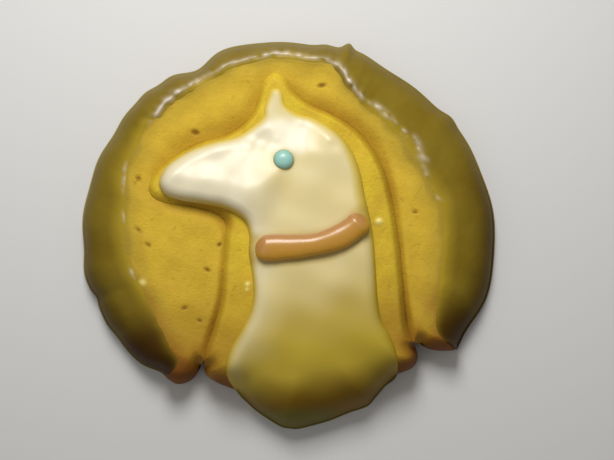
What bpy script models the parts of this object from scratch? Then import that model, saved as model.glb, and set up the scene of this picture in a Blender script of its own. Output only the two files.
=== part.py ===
"""A decorated sugar cookie: a bird whose fanned tail stands round its head and body.

The cookie lies flat, as it does on a plate. +X runs to the right of the bird, +Y from its
foot to its crest, and +Z up. The origin is on the underside, at the middle of the cookie.

Two pieces of thick dough lie side by side, a horseshoe for the tail and the bird inside it.
A glaze covers the tail's sloping rim, icing covers the bird and runs down over its foot, and
a bead of icing for the eye and a piped rope for the collar lie on that.

Outlines are drawn in millimetres, and every vertex is turned into metres when it is made.
"""

import math

import bmesh
import bpy
import numpy as np
from mathutils import Vector
from mathutils.geometry import delaunay_2d_cdt

MM = 0.001

# Thickness of the dough, and where its rounded edges meet the walls below them
TAIL_TOP = 8.6
BIRD_TOP = 9.5
SEAM_WALL = 5.4
RIM_WALL = 1.2
END_WALL = 2.0
TAIL_SEAM_ROUNDING = 4.0
BIRD_SEAM_ROUNDING = 2.2
END_ROUNDING = 3.6
# The dough's top isn't quite level: height and length of its low waves
LUMP_HEIGHT = 0.15
LUMP_LENGTH = 13.0

# Icing and glaze
GAP = 0.3
GLAZE_THICKNESS = 1.15
ICING_THICKNESS = 1.9
FOOT_THICKNESS = 0.5
FOOT_WIDTH = 0.6
SKIRT = 1.6
LAYER_EDGE = 0.4
LIP_ROUNDING = 1.3
SLOPE_PAST_LIP = 0.4
NARROWEST_SLOPE = 1.6
ICING_ROUNDING = 2.2
STEP = 0.06

# The tail's rim: nearly a circle round the origin, a little wider than it is tall
TAIL_RADIUS = 38.6
TAIL_WIDENING = 1.3
TAIL_LEAN = -0.7
WAVES = ((11, 0.16, 40.0), (17, 0.12, 0.0))
# Peaks and dents of the rim: angle in degrees from +X, height in mm, half width in degrees
RIM_FEATURES = (
    (3, -0.35, 8.0),
    (36, 0.6, 3.0),
    (43, -0.5, 8.0),
    (70, 0.5, 6.0),
    (72.6, 1.1, 1.6),
    (79, 0.5, 3.0),
    (119, -1.7, 6.0),
    (131, -0.8, 4.0),
    (139, -0.4, 4.0),
    (151, -0.7, 6.0),
    (167, -0.5, 8.0),
    (190, 0.7, 5.0),
    (198, -0.5, 2.0),
    (206, 0.3, 3.0),
    (228, -1.6, 5.0),
    (331, -1.1, 8.0),
)
TAIL_START = -33.6
TAIL_FINISH = 229.6
END_TAPER = 5.0

# Width of the glaze on the rim: angle in degrees, width in mm
GLAZE_WIDTHS = (
    (-33.6, 0.8),
    (-31.6, 5.6),
    (-27.0, 7.6),
    (-20.0, 9.4),
    (-13.0, 10.6),
    (6.0, 10.4),
    (18.0, 10.5),
    (28.0, 11.0),
    (40.0, 10.1),
    (51.0, 9.3),
    (60.0, 8.8),
    (66.0, 7.9),
    (71.5, 7.2),
    (77.0, 3.9),
    (90.0, 3.4),
    (103.0, 3.7),
    (114.0, 3.5),
    (125.0, 4.4),
    (134.0, 5.4),
    (149.0, 5.6),
    (160.0, 6.9),
    (170.0, 8.2),
    (190.0, 9.6),
    (204.0, 9.9),
    (216.0, 8.4),
    (226.0, 5.0),
    (229.6, 0.8),
)

# Ends of the tail, beside the bird's body
TAIL_RIGHT_END = ((31.4, -21.9), (29.0, -22.2), (26.8, -21.9), (25.4, -20.8))
TAIL_LEFT_END = ((-17.1, -25.0), (-18.0, -27.0), (-19.6, -28.3), (-21.6, -28.6), (-23.0, -27.9))

# Edge of the bird's dough against the tail, from the left notch over the head to the right
SEAM = (
    (-16.3, -25.3),
    (-15.9, -22.0),
    (-14.4, -17.4),
    (-13.1, -12.4),
    (-12.6, -6.4),
    (-12.1, -0.1),
    (-12.4, 2.8),
    (-14.6, 4.5),
    (-18.7, 5.6),
    (-23.0, 6.2),
    (-25.8, 7.2),
    (-26.8, 9.3),
    (-25.9, 11.8),
    (-23.5, 14.0),
    (-20.0, 16.3),
    (-16.0, 18.1),
    (-12.0, 19.3),
    (-8.8, 21.2),
    (-6.7, 23.8),
    (-5.8, 26.8),
    (-4.8, 29.6),
    (-2.7, 31.1),
    (-0.6, 29.9),
    (0.9, 27.6),
    (3.6, 25.3),
    (7.6, 23.5),
    (11.4, 21.3),
    (14.4, 18.6),
    (16.9, 15.1),
    (18.7, 11.2),
    (20.2, 5.0),
    (21.2, -2.0),
    (22.0, -10.0),
    (22.6, -16.4),
    (23.3, -19.4),
    (24.4, -21.6),
)

# Edge of the bird's dough at its foot, from the right notch round to the left
BIRD_FOOT = (
    (24.8, -23.4),
    (24.0, -25.3),
    (21.8, -26.4),
    (19.0, -27.1),
    (16.4, -28.7),
    (14.3, -30.9),
    (10.8, -32.2),
    (6.9, -33.8),
    (2.0, -35.2),
    (-1.0, -34.9),
    (-3.4, -33.4),
    (-5.6, -31.9),
    (-8.0, -30.6),
    (-11.0, -29.5),
    (-14.2, -28.2),
    (-16.0, -26.8),
)

# Edge of the icing on the bird, from the left of its foot over the head to the right
ICING_SIDES = (
    (-9.9, -30.4),
    (-11.7, -27.4),
    (-12.1, -24.9),
    (-11.2, -21.6),
    (-9.2, -18.2),
    (-7.5, -14.7),
    (-6.8, -11.1),
    (-7.1, -7.0),
    (-7.7, -3.2),
    (-7.6, 0.1),
    (-8.6, 2.9),
    (-11.9, 5.0),
    (-16.4, 6.0),
    (-20.6, 6.7),
    (-23.6, 7.8),
    (-24.8, 10.0),
    (-23.8, 12.6),
    (-21.4, 14.7),
    (-18.1, 16.6),
    (-14.2, 18.0),
    (-10.0, 19.0),
    (-7.1, 20.7),
    (-5.0, 22.6),
    (-4.7, 24.5),
    (-3.8, 27.0),
    (-2.4, 28.2),
    (-1.1, 27.0),
    (-0.6, 24.9),
    (1.5, 23.4),
    (4.6, 22.5),
    (7.5, 21.0),
    (10.2, 18.8),
    (12.3, 15.7),
    (13.7, 11.8),
    (14.6, 7.2),
    (15.5, 3.4),
    (16.2, -0.9),
    (16.6, -6.6),
    (17.0, -12.4),
    (17.7, -16.2),
    (19.2, -18.9),
    (20.3, -21.6),
    (20.9, -24.9),
    (20.6, -27.4),
)

# Edge of the icing where it reaches the plate, from right to left
ICING_FOOT = (
    (18.6, -29.1),
    (16.8, -31.2),
    (15.1, -33.0),
    (11.7, -34.2),
    (7.4, -35.9),
    (2.1, -37.3),
    (-1.4, -37.0),
    (-4.0, -35.5),
    (-6.2, -34.0),
    (-8.0, -32.4),
)

# The sloping foot of the bird is long in the middle and short at the two corners
FOOT_SLOPE_LONG = 12.5
FOOT_SLOPE_SHORT = 4.0
FOOT_MIDDLE_X = 3.5
FOOT_HALF_WIDTH = 13.0

# Eye and collar
EYE_CENTRE = (-1.0, 14.5)
EYE_RADIUS = 1.98
EYE_HEIGHT = 1.7
EYE_EDGE = 0.35
COLLAR_LINE = (
    (-5.9, -2.3),
    (-1.7, -2.3),
    (2.1, -2.1),
    (6.0, -1.5),
    (9.8, -0.2),
    (12.3, 1.4),
    (14.2, 3.1),
)
COLLAR_HALF_WIDTH = 2.2
COLLAR_HEIGHT = 2.3
COLLAR_END = 0.45
COLLAR_SECTION_POINTS = 12

# Spacing of the points along an edge, distances from the edge to the rings of points inside it,
# and spacing of the points further in
EDGE_SPACING = 2.4
TAIL_RINGS = (0.5, 1.5, 3.2, 5.6)
BIRD_RINGS = (0.4, 1.1, 2.3)
GLAZE_RINGS = (FOOT_WIDTH, LIP_ROUNDING)
ICING_RINGS = (FOOT_WIDTH, 1.3, 2.4)
INNER_SPACING = 4.2
LEAST_SPACING = 0.9
CLEAR_OF_EDGE = 0.3
# A point of a layer's own may lie where the dough is at least this share of its full height
NEARLY_FLAT = 0.95

# Colours, roughness
MATERIALS = {
    "tail_dough": ((0.61, 0.42, 0.05), 0.62),
    "bird_dough": ((0.61, 0.42, 0.05), 0.62),
    "tail_glaze": ((0.26, 0.19, 0.06), 0.28),
    "bird_icing": ((0.76, 0.66, 0.36), 0.22),
    "eye": ((0.24, 0.52, 0.42), 0.25),
    "collar": ((0.60, 0.28, 0.11), 0.25),
}


def clear_scene():
    for existing in list(bpy.data.objects):
        bpy.data.objects.remove(existing, do_unlink=True)


def catmull_rom(before, start, finish, after, t):
    """Points of the smooth curve from start to finish, at the shares t of the way."""
    t = t[:, None]
    return 0.5 * (
        2 * start
        + (finish - before) * t
        + (2 * before - 5 * start + 4 * finish - after) * t**2
        + (3 * start - before - 3 * finish + after) * t**3
    )


def evenly(line, spacing):
    """The same polyline with points about one spacing apart, its two ends kept."""
    lengths = np.r_[0.0, np.cumsum(np.linalg.norm(np.diff(line, axis=0), axis=1))]
    count = max(2, round(lengths[-1] / spacing) + 1)
    at = np.linspace(0.0, lengths[-1], count)
    return np.column_stack([np.interp(at, lengths, line[:, axis]) for axis in (0, 1)])


def smooth_line(points, spacing):
    """An open curve through the points."""
    points = np.array(points, float)
    ends = np.vstack([2 * points[0] - points[1], points, 2 * points[-1] - points[-2]])
    t = np.linspace(0.0, 1.0, 12, endpoint=False)
    spans = [catmull_rom(*ends[i : i + 4], t) for i in range(len(points) - 1)]
    return evenly(np.vstack([*spans, points[-1:]]), spacing)


def loop_of(*lines, spacing=EDGE_SPACING):
    """A closed outline through the lines, one after the other, with its first point not repeated."""
    joined = np.vstack([*lines, lines[0][:1]])
    return evenly(joined, spacing)[:-1]


def closed(loop):
    return np.vstack([loop, loop[:1]])


def distance_to(points, line):
    """Distance from each point to the nearest place on an open polyline."""
    along = np.diff(line, axis=0)
    offset = points[:, None] - line[None, :-1]
    share = np.clip((offset * along).sum(2) / (along**2).sum(1), 0.0, 1.0)
    return np.linalg.norm(offset - share[..., None] * along, axis=2).min(1)


def is_inside(points, loop):
    """True for each point inside the closed outline, by counting the edges to its right."""
    x, y = points[:, 0, None], points[:, 1, None]
    start, finish = loop, np.roll(loop, -1, axis=0)
    spans = (start[:, 1] > y) != (finish[:, 1] > y)
    rise = np.where(finish[:, 1] == start[:, 1], 1.0, finish[:, 1] - start[:, 1])
    crossing = start[:, 0] + (y - start[:, 1]) * (finish[:, 0] - start[:, 0]) / rise
    return (spans & (crossing > x)).sum(1) % 2 == 1


def depth_in(points, loop):
    """Distance to the closed outline, negative outside it."""
    return np.where(is_inside(points, loop), 1.0, -1.0) * distance_to(points, closed(loop))


def offset_line(line, distance):
    """The polyline moved to its left, or to its right where the distance is negative."""
    along = np.gradient(line, axis=0)
    left = np.column_stack([-along[:, 1], along[:, 0]])
    return line + distance * left / np.linalg.norm(left, axis=1)[:, None]


def is_anticlockwise(loop):
    x, y = loop.T
    return np.sum(x * np.roll(y, -1) - y * np.roll(x, -1)) > 0


def rounded(distance, width):
    """0 at an edge, rising as a quarter circle to 1 at the given width from it."""
    share = np.clip(distance / width, 0.0, 1.0)
    return np.sqrt(1.0 - (1.0 - share) ** 2)


def angles_of(points):
    """Angle of each point round the origin in degrees, from -90 to 270."""
    angle = np.degrees(np.arctan2(points[:, 1], points[:, 0]))
    return np.where(angle < -90.0, angle + 360.0, angle)


def rim_radius(angle):
    """Radius of the glaze's edge on the plate."""
    turn = np.radians(angle)
    radius = TAIL_RADIUS + TAIL_WIDENING * np.cos(2 * turn) + TAIL_LEAN * np.sin(2 * turn)
    for count, height, phase in WAVES:
        radius = radius + height * np.sin(count * turn + math.radians(phase))
    for centre, height, half_width in RIM_FEATURES:
        away = (angle - centre + 180.0) % 360.0 - 180.0
        radius = radius + height * np.exp(-((away / half_width) ** 2))
    return radius


def glaze_width(angle):
    knots = smooth_line(GLAZE_WIDTHS, 0.5)
    return np.interp(angle, knots[:, 0], knots[:, 1])


def skirt_width(angle):
    """How far the glaze reaches past the dough: nothing at the tail's two ends."""
    from_end = np.minimum(angle - TAIL_START, TAIL_FINISH - angle)
    return SKIRT * np.clip(from_end / END_TAPER, 0.0, 1.0)


def polar_line(radius, start, finish):
    """The line at radius(angle) from one angle to another, finely spaced."""
    angle = np.linspace(start, finish, 500)
    turn = np.radians(angle)
    return radius(angle)[:, None] * np.column_stack([np.cos(turn), np.sin(turn)])


def dough_radius(angle):
    return rim_radius(angle) - skirt_width(angle)


def lip_radius(angle):
    return rim_radius(angle) - glaze_width(angle)


SEAM_LINE = smooth_line(SEAM, 1.0)
FOOT_LINE = smooth_line((SEAM[-1], *BIRD_FOOT, SEAM[0]), 1.0)
BIRD_LOOP = loop_of(SEAM_LINE, FOOT_LINE[1:-1])[::-1]
ICING_SIDE_LINE = smooth_line(ICING_SIDES, 1.0)
ICING_FOOT_LINE = smooth_line((ICING_SIDES[-1], *ICING_FOOT, ICING_SIDES[0]), 1.0)
ICING_LOOP = loop_of(ICING_SIDE_LINE, ICING_FOOT_LINE[1:-1], spacing=2.0)[::-1]

RIGHT_END_LINE = smooth_line(TAIL_RIGHT_END, 1.0)
LEFT_END_LINE = smooth_line(TAIL_LEFT_END, 1.0)
TAIL_SEAM_LINE = offset_line(SEAM_LINE, GAP + 0.1)[2:-2]
TAIL_LOOP = loop_of(
    polar_line(dough_radius, TAIL_START + 1.0, TAIL_FINISH - 1.0),
    LEFT_END_LINE[::-1],
    TAIL_SEAM_LINE,
    RIGHT_END_LINE[::-1],
)
GLAZE_LOOP = loop_of(
    polar_line(rim_radius, TAIL_START, TAIL_FINISH),
    polar_line(lip_radius, TAIL_FINISH, TAIL_START),
)


def lumps(points):
    """Low waves in two directions."""
    x, y = (points * 2 * math.pi / LUMP_LENGTH).T
    return LUMP_HEIGHT * np.sin(x + 0.6 * y) * np.sin(y - 0.3 * x + 1.0)


def tail_height(points, grown=0.0):
    """Top of the tail's dough: domed at the rim, rounded at the seam and at its two ends. All its
    sides can be moved outwards by a distance."""
    angle = angles_of(points)
    inward = dough_radius(angle) + grown - np.linalg.norm(points, axis=1)
    slope_width = np.maximum(
        glaze_width(angle) - skirt_width(angle) + SLOPE_PAST_LIP, NARROWEST_SLOPE
    )
    level = TAIL_TOP + lumps(points)
    rim = RIM_WALL + (level - RIM_WALL) * rounded(inward, slope_width)
    seam_distance = distance_to(points, SEAM_LINE) - GAP + grown
    seam = SEAM_WALL + (level - SEAM_WALL) * rounded(seam_distance, TAIL_SEAM_ROUNDING)
    ends = np.minimum(distance_to(points, RIGHT_END_LINE), distance_to(points, LEFT_END_LINE))
    end = END_WALL + (level - END_WALL) * rounded(ends + grown, END_ROUNDING)
    return np.minimum(np.minimum(rim, seam), end)


def foot_slope(points):
    """Length of the slope at the bird's foot."""
    aside = (points[:, 0] - FOOT_MIDDLE_X) / FOOT_HALF_WIDTH
    return FOOT_SLOPE_SHORT + (FOOT_SLOPE_LONG - FOOT_SLOPE_SHORT) * np.exp(-(aside**4))


def bird_height(points, grown=0.0):
    """Top of the bird's dough: rounded at the seam, with a long slope at the foot. All its sides
    can be moved outwards by a distance."""
    level = BIRD_TOP + lumps(points)
    side = np.where(is_inside(points, BIRD_LOOP), 1.0, -1.0)
    to_seam = side * distance_to(points, SEAM_LINE) + grown
    seam = SEAM_WALL + (level - SEAM_WALL) * rounded(to_seam, BIRD_SEAM_ROUNDING)
    to_foot = side * distance_to(points, FOOT_LINE) + grown
    foot = RIM_WALL + (level - RIM_WALL) * rounded(to_foot, foot_slope(points))
    return np.minimum(seam, foot)


def flat(points):
    return np.zeros(len(points))


def under_layer(points, dough_loop, dough_height):
    """Underside of a layer on the dough: a gap away from it, and on the plate beside it."""
    over_dough = depth_in(points, dough_loop) > -(GAP + STEP / 2)
    return np.where(over_dough, dough_height(points, GAP) + GAP, 0.0)


def thinnest(points, dough_loop, dough_height):
    """The lowest that the layer's top may be: just over the dough, fading out past its edge."""
    past_edge = np.clip(-depth_in(points, dough_loop) / (2 * GAP + STEP) - 0.5, 0.0, 1.0)
    return (dough_height(points, GAP) + GAP + LAYER_EDGE) * (1.0 - past_edge)


def glaze_underside(points):
    return under_layer(points, TAIL_LOOP, tail_height)


def glaze_top(points):
    """Top of the glaze: a thin foot on the plate, a quarter round up the rim, and a rounded lip. It
    comes down with the dough at the tail's two ends."""
    angle = angles_of(points)
    inward = rim_radius(angle) - np.linalg.norm(points, axis=1)
    slope_width = glaze_width(angle) - FOOT_WIDTH + SLOPE_PAST_LIP
    crown = TAIL_TOP + lumps(points) + GAP + GLAZE_THICKNESS
    rim = FOOT_THICKNESS + (crown - FOOT_THICKNESS) * rounded(inward - FOOT_WIDTH, slope_width)
    ends = np.minimum(distance_to(points, RIGHT_END_LINE), distance_to(points, LEFT_END_LINE))
    end = END_WALL + (crown - END_WALL) * rounded(ends + GLAZE_THICKNESS, END_ROUNDING)
    rim = np.minimum(rim, end)
    low = thinnest(points, TAIL_LOOP, tail_height)
    from_lip = np.maximum(glaze_width(angle) - inward, 0.0)
    lipped = low + (rim - low) * rounded(from_lip, LIP_ROUNDING)
    return np.maximum(np.maximum(lipped, low), FOOT_THICKNESS)


def icing_underside(points):
    return under_layer(points, BIRD_LOOP, bird_height)


def icing_top(points):
    """Top of the icing: rounded at its sides, and a slope down to a thin foot on the plate."""
    base = thinnest(points, BIRD_LOOP, bird_height)
    body = base + (ICING_THICKNESS - LAYER_EDGE) * rounded(
        distance_to(points, ICING_SIDE_LINE), ICING_ROUNDING
    )
    crown = BIRD_TOP + lumps(points) + GAP + ICING_THICKNESS
    from_foot = distance_to(points, ICING_FOOT_LINE) - FOOT_WIDTH
    slope = rounded(from_foot, foot_slope(points) + SKIRT - FOOT_WIDTH)
    foot = FOOT_THICKNESS + (crown - FOOT_THICKNESS) * slope
    on_plate = depth_in(points, BIRD_LOOP) < 0.0
    top = np.where(on_plate, foot, np.minimum(body, foot))
    return np.maximum(np.maximum(top, base), FOOT_THICKNESS)


def inner_points(loop, rings):
    """Points on rings inside an outline, and a triangular grid further in. In a sharp turn of the
    outline, the ring's points that come too near to it are left out."""
    inward = 1.0 if is_anticlockwise(loop) else -1.0
    found = []
    for distance in rings:
        ring = offset_line(closed(loop), inward * distance)[:-1]
        found.append(ring[depth_in(ring, loop) > 0.93 * distance])
    low, high = loop.min(0), loop.max(0)
    across = np.arange(low[0], high[0], INNER_SPACING)
    up = np.arange(low[1], high[1], INNER_SPACING * math.sqrt(0.75))
    grid_x, grid_y = np.meshgrid(across, up)
    grid_x[1::2] += INNER_SPACING / 2
    grid = np.column_stack([grid_x.ravel(), grid_y.ravel()])
    found.append(grid[depth_in(grid, loop) > rings[-1] + 0.6 * INNER_SPACING])
    return np.vstack(found)


def step_lines(dough_loop):
    """The dough's edge, and two lines just outside it where a layer's underside drops to the plate."""
    outward = -1.0 if is_anticlockwise(dough_loop) else 1.0
    edge = closed(dough_loop)
    return [offset_line(edge, outward * distance) for distance in (0.0, GAP, GAP + STEP)]


def layer_points(loop, rings, dough_loop, dough_points, dough_height):
    """The dough's own points under the layer, so that both have the same facets there, and more
    along the layer's edge."""
    shared = dough_points[depth_in(dough_points, loop) > CLEAR_OF_EDGE]
    own = inner_points(loop, rings)
    spacing = np.linalg.norm(own[:, None] - shared, axis=2).min(1)
    on_top = dough_height(own) > NEARLY_FLAT * dough_height(dough_points).max()
    beside = depth_in(own, dough_loop) < -2 * GAP
    return np.vstack([shared, own[(spacing > LEAST_SPACING) & (on_top | beside)]])


def triangulate(loop, points, lines):
    """Flat triangles that fill the outline and use all the points and lines inside it."""
    groups = [loop, points, *[line[:-1] for line in lines]]
    joins = []
    for group, start in list(zip(groups, np.cumsum([0] + [len(group) for group in groups])))[2:]:
        count = len(group)
        joins += [(int(start + i), int(start + (i + 1) % count)) for i in range(count)]
    corners = [Vector(point) for point in np.vstack(groups)]
    outline = [list(range(len(loop)))]
    made = delaunay_2d_cdt(corners, joins, outline, 0, 1e-5)
    places = np.array(made[0])
    within = is_inside(np.array([places[face].mean(0) for face in made[2]]), loop)
    kept = [face for face, inner in zip(made[2], within) if inner]
    used = sorted({index for face in kept for index in face})
    renumbered = {index: i for i, index in enumerate(used)}
    return places[used], [[renumbered[index] for index in face] for face in kept]


def add_material(obj):
    colour, roughness = MATERIALS[obj.name]
    material = bpy.data.materials.new(obj.name)
    material.use_nodes = True
    shader = material.node_tree.nodes["Principled BSDF"]
    shader.inputs["Base Color"].default_value = (*colour, 1.0)
    shader.inputs["Roughness"].default_value = roughness
    shader.inputs["Metallic"].default_value = 0.0
    obj.data.materials.append(material)


def add_object(name, data, collection):
    obj = bpy.data.objects.new(name, data)
    collection.objects.link(obj)
    add_material(obj)
    return obj


def mesh_from(bm, name):
    bmesh.ops.recalc_face_normals(bm, faces=bm.faces)
    mesh = bpy.data.meshes.new(name)
    bm.to_mesh(mesh)
    bm.free()
    mesh.shade_smooth()
    mesh.set_sharp_from_angle(angle=math.radians(40))
    return mesh


def add_slab(name, collection, loop, points, top, bottom, lines=()):
    """A solid over an outline: its flat triangles are set to the bottom's height, extruded, and the
    copy is set to the top's height."""
    flat_points, faces = triangulate(loop, points, lines)
    bm = bmesh.new()
    lower = bottom(flat_points)
    for (x, y), z in zip(flat_points, lower):
        bm.verts.new((x * MM, y * MM, z * MM))
    bm.verts.ensure_lookup_table()
    for face in faces:
        bm.faces.new([bm.verts[i] for i in face])
    lower_faces = list(bm.faces)
    extruded = bmesh.ops.extrude_face_region(bm, geom=lower_faces, use_keep_orig=True)["geom"]
    upper = [item for item in extruded if isinstance(item, bmesh.types.BMVert)]
    heights = top(np.array([(v.co.x, v.co.y) for v in upper]) / MM)
    for vert, height in zip(upper, heights):
        vert.co.z = height * MM
    if bottom is flat:
        edges = {edge for face in lower_faces for edge in face.edges}
        corners = {vert for face in lower_faces for vert in face.verts}
        bmesh.ops.dissolve_limit(
            bm, angle_limit=math.radians(1), verts=list(corners), edges=list(edges)
        )
    return add_object(name, mesh_from(bm, name), collection)


def icing_plateau():
    return BIRD_TOP + GAP + ICING_THICKNESS


def add_eye(collection):
    """A low bead: a quarter-ellipse profile turned round the vertical."""
    profile = bmesh.new()
    turns = np.linspace(0.0, math.pi / 2, 5)
    outline = [
        (EYE_RADIUS * math.sin(turn), EYE_EDGE + (EYE_HEIGHT - EYE_EDGE) * math.cos(turn))
        for turn in turns
    ]
    outline += [(EYE_RADIUS, 0.0), (0.0, 0.0)]
    verts = [profile.verts.new((x * MM, 0.0, z * MM)) for x, z in outline]
    for start, finish in zip(verts, verts[1:]):
        profile.edges.new((start, finish))
    mesh = bpy.data.meshes.new("eye")
    profile.to_mesh(mesh)
    profile.free()
    eye = add_object("eye", mesh, collection)
    eye.location = (EYE_CENTRE[0] * MM, EYE_CENTRE[1] * MM, (icing_plateau() + GAP) * MM)
    screw = eye.modifiers.new("turn", "SCREW")
    screw.steps = screw.render_steps = 20
    screw.use_merge_vertices = True
    screw.merge_threshold = 0.00002
    return eye


def collar_section():
    """Half an ellipse on its flat side, as the points of a closed curve."""
    turns = np.linspace(math.pi, 0.0, COLLAR_SECTION_POINTS)
    return [(COLLAR_HALF_WIDTH * math.cos(t), COLLAR_HEIGHT * math.sin(t)) for t in turns]


def add_collar(collection, helpers):
    """A piped rope: the flat-bottomed section carried along the collar's line, smaller at its ends."""
    section = bpy.data.curves.new("collar_section", "CURVE")
    section.dimensions = "2D"
    ring = section.splines.new("POLY")
    points = collar_section()
    ring.points.add(len(points) - 1)
    for point, (x, y) in zip(ring.points, points):
        point.co = (x * MM, y * MM, 0.0, 1.0)
    ring.use_cyclic_u = True
    profile = bpy.data.objects.new("collar_section", section)
    profile.hide_render = True
    profile.display_type = "WIRE"
    helpers.objects.link(profile)

    path = bpy.data.curves.new("collar", "CURVE")
    path.dimensions = "3D"
    path.twist_mode = "Z_UP"
    path.bevel_mode = "OBJECT"
    path.bevel_object = profile
    path.use_fill_caps = True
    line = smooth_line(COLLAR_LINE, 1.3)
    spline = path.splines.new("POLY")
    spline.points.add(len(line) - 1)
    along = np.r_[0.0, np.cumsum(np.linalg.norm(np.diff(line, axis=0), axis=1))]
    from_end = np.minimum(along, along[-1] - along)
    sizes = COLLAR_END + (1.0 - COLLAR_END) * rounded(from_end, COLLAR_HALF_WIDTH)
    for point, (x, y), size in zip(spline.points, line, sizes):
        point.co = (x * MM, y * MM, 0.0, 1.0)
        point.radius = size
    collar = add_object("collar", path, collection)
    collar.location.z = (icing_plateau() + GAP) * MM
    return collar


def build():
    clear_scene()
    cookie = bpy.data.collections.new("sugar_cookie")
    helpers = bpy.data.collections.new("helpers")
    bpy.context.scene.collection.children.link(cookie)
    bpy.context.scene.collection.children.link(helpers)
    tail_points = inner_points(TAIL_LOOP, TAIL_RINGS)
    bird_points = inner_points(BIRD_LOOP, BIRD_RINGS)
    glaze_points = layer_points(GLAZE_LOOP, GLAZE_RINGS, TAIL_LOOP, tail_points, tail_height)
    icing_points = layer_points(ICING_LOOP, ICING_RINGS, BIRD_LOOP, bird_points, bird_height)
    tail_steps = step_lines(TAIL_LOOP)
    bird_steps = step_lines(BIRD_LOOP)
    add_slab("tail_dough", cookie, TAIL_LOOP, tail_points, tail_height, flat)
    add_slab("bird_dough", cookie, BIRD_LOOP, bird_points, bird_height, flat)
    add_slab(
        "tail_glaze", cookie, GLAZE_LOOP, glaze_points, glaze_top, glaze_underside, tail_steps
    )
    add_slab(
        "bird_icing", cookie, ICING_LOOP, icing_points, icing_top, icing_underside, bird_steps
    )
    add_eye(cookie)
    add_collar(cookie, helpers)


build()
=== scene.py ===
# %% [markdown]
# # A decorated sugar cookie
#
# The cookie is a bird with a round, fanned tail. It is made the way a baker makes it: two pieces
# of thick yellow dough, a glaze on the tail's sloping rim, icing on the bird, and a bead and a
# rope of icing for the eye and the collar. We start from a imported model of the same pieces, which
# gives the sizes and the places, and replace each plain solid with a finely shaped surface.

# %% Load the frame and measure it
import math

import bmesh
import bpy
import numpy as np
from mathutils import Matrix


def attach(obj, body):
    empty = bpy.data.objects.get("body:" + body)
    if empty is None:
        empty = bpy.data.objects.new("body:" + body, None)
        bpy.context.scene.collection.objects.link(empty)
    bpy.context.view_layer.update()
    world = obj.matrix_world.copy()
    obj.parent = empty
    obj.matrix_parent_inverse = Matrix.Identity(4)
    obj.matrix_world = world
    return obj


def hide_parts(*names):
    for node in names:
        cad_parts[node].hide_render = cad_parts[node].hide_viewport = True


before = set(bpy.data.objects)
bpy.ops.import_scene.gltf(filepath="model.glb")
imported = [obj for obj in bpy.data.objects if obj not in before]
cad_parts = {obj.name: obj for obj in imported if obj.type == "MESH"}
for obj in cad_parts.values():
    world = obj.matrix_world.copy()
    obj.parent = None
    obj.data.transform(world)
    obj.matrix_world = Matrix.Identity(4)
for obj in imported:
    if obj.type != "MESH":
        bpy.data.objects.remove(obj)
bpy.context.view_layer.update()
MM = 0.001

# %% [markdown]
# ## Camera, floor and light
#
# The picture is taken from straight above, so all outlines are seen in their true shape. A long
# lens from far away keeps the tall middle from growing over the rim. Baked goods are lit softly
# from behind: one wide lamp beyond the bird's head puts a gleam on each edge that faces it, and
# weak light from all round fills the shadows.

# %% Camera straight above the cookie
PICTURE_PIXELS = (614, 460)
MM_PER_PIXEL = 0.1923
COOKIE_CENTRE_PIXEL = (289.0, 235.5)
LENS = 300.0
SENSOR = 36.0
SHARP_HEIGHT = 4.0


def photo_camera():
    """The camera looks along -Z. Its distance is lens / sensor times the width of the picture, at
    the height where sizes are to be true."""
    width = PICTURE_PIXELS[0] * MM_PER_PIXEL
    right = (PICTURE_PIXELS[0] / 2 - COOKIE_CENTRE_PIXEL[0]) * MM_PER_PIXEL
    up = (COOKIE_CENTRE_PIXEL[1] - PICTURE_PIXELS[1] / 2) * MM_PER_PIXEL
    data = bpy.data.cameras.new("photo_camera")
    data.lens = LENS
    data.sensor_width = SENSOR
    camera = bpy.data.objects.new("photo_camera", data)
    camera.location = (right * MM, up * MM, (SHARP_HEIGHT + width * LENS / SENSOR) * MM)
    bpy.context.scene.collection.objects.link(camera)
    bpy.context.scene.camera = camera
    return camera


print("camera height in m:", round(photo_camera().location.z, 3))

# %% A plain finish
def new_finish(piece, name, **constants):
    """A material on the piece. Settings that are the same all over go on its shader."""
    material = bpy.data.materials.new(name)
    material.use_nodes = True
    piece.data.materials.append(material)
    shader = material.node_tree.nodes["Principled BSDF"]
    for socket, value in constants.items():
        shader.inputs[socket.replace("_", " ")].default_value = value
    return material.node_tree, shader


# %% Floor, lamps and the light from all round
FLOOR_COLOUR = (0.62, 0.61, 0.59, 1.0)
FLOOR_ROUGHNESS = 0.9
FLOOR_SIZE = 6.0
FLOOR_DROP = 0.05
SURROUND_COLOUR = (1.0, 0.98, 0.95, 1.0)
SURROUND_STRENGTH = 0.24
# Each lamp has a name, a place and a size in metres, and its watts.
LAMPS = (("window", (-0.012, 0.128, 0.172), 0.085, 0.42), ("side_fill", (-0.5, -0.2, 0.6), 0.5, 0.5))


def floor():
    """A wide plane, a hair below the cookie so that the two don't share a surface."""
    bpy.ops.mesh.primitive_plane_add(size=FLOOR_SIZE, location=(0, 0, -FLOOR_DROP * MM))
    plane = bpy.context.object
    plane.name = "floor"
    new_finish(plane, "floor", Base_Color=FLOOR_COLOUR, Roughness=FLOOR_ROUGHNESS)


def lamp(name, place, size, watts):
    """A square lamp that faces the cookie's middle."""
    data = bpy.data.lights.new(name, "AREA")
    data.size = size
    data.energy = watts
    light = bpy.data.objects.new(name, data)
    light.location = place
    light.rotation_euler = (-light.location).to_track_quat("-Z", "Y").to_euler()
    bpy.context.scene.collection.objects.link(light)


def surround():
    """Weak light of one colour from all round."""
    world = bpy.data.worlds.new("studio")
    world.use_nodes = True
    background = world.node_tree.nodes["Background"]
    background.inputs["Color"].default_value = SURROUND_COLOUR
    background.inputs["Strength"].default_value = SURROUND_STRENGTH
    bpy.context.scene.world = world


floor()
for settings in LAMPS:
    lamp(*settings)
surround()
bpy.context.scene.view_settings.view_transform = "Standard"

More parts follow.
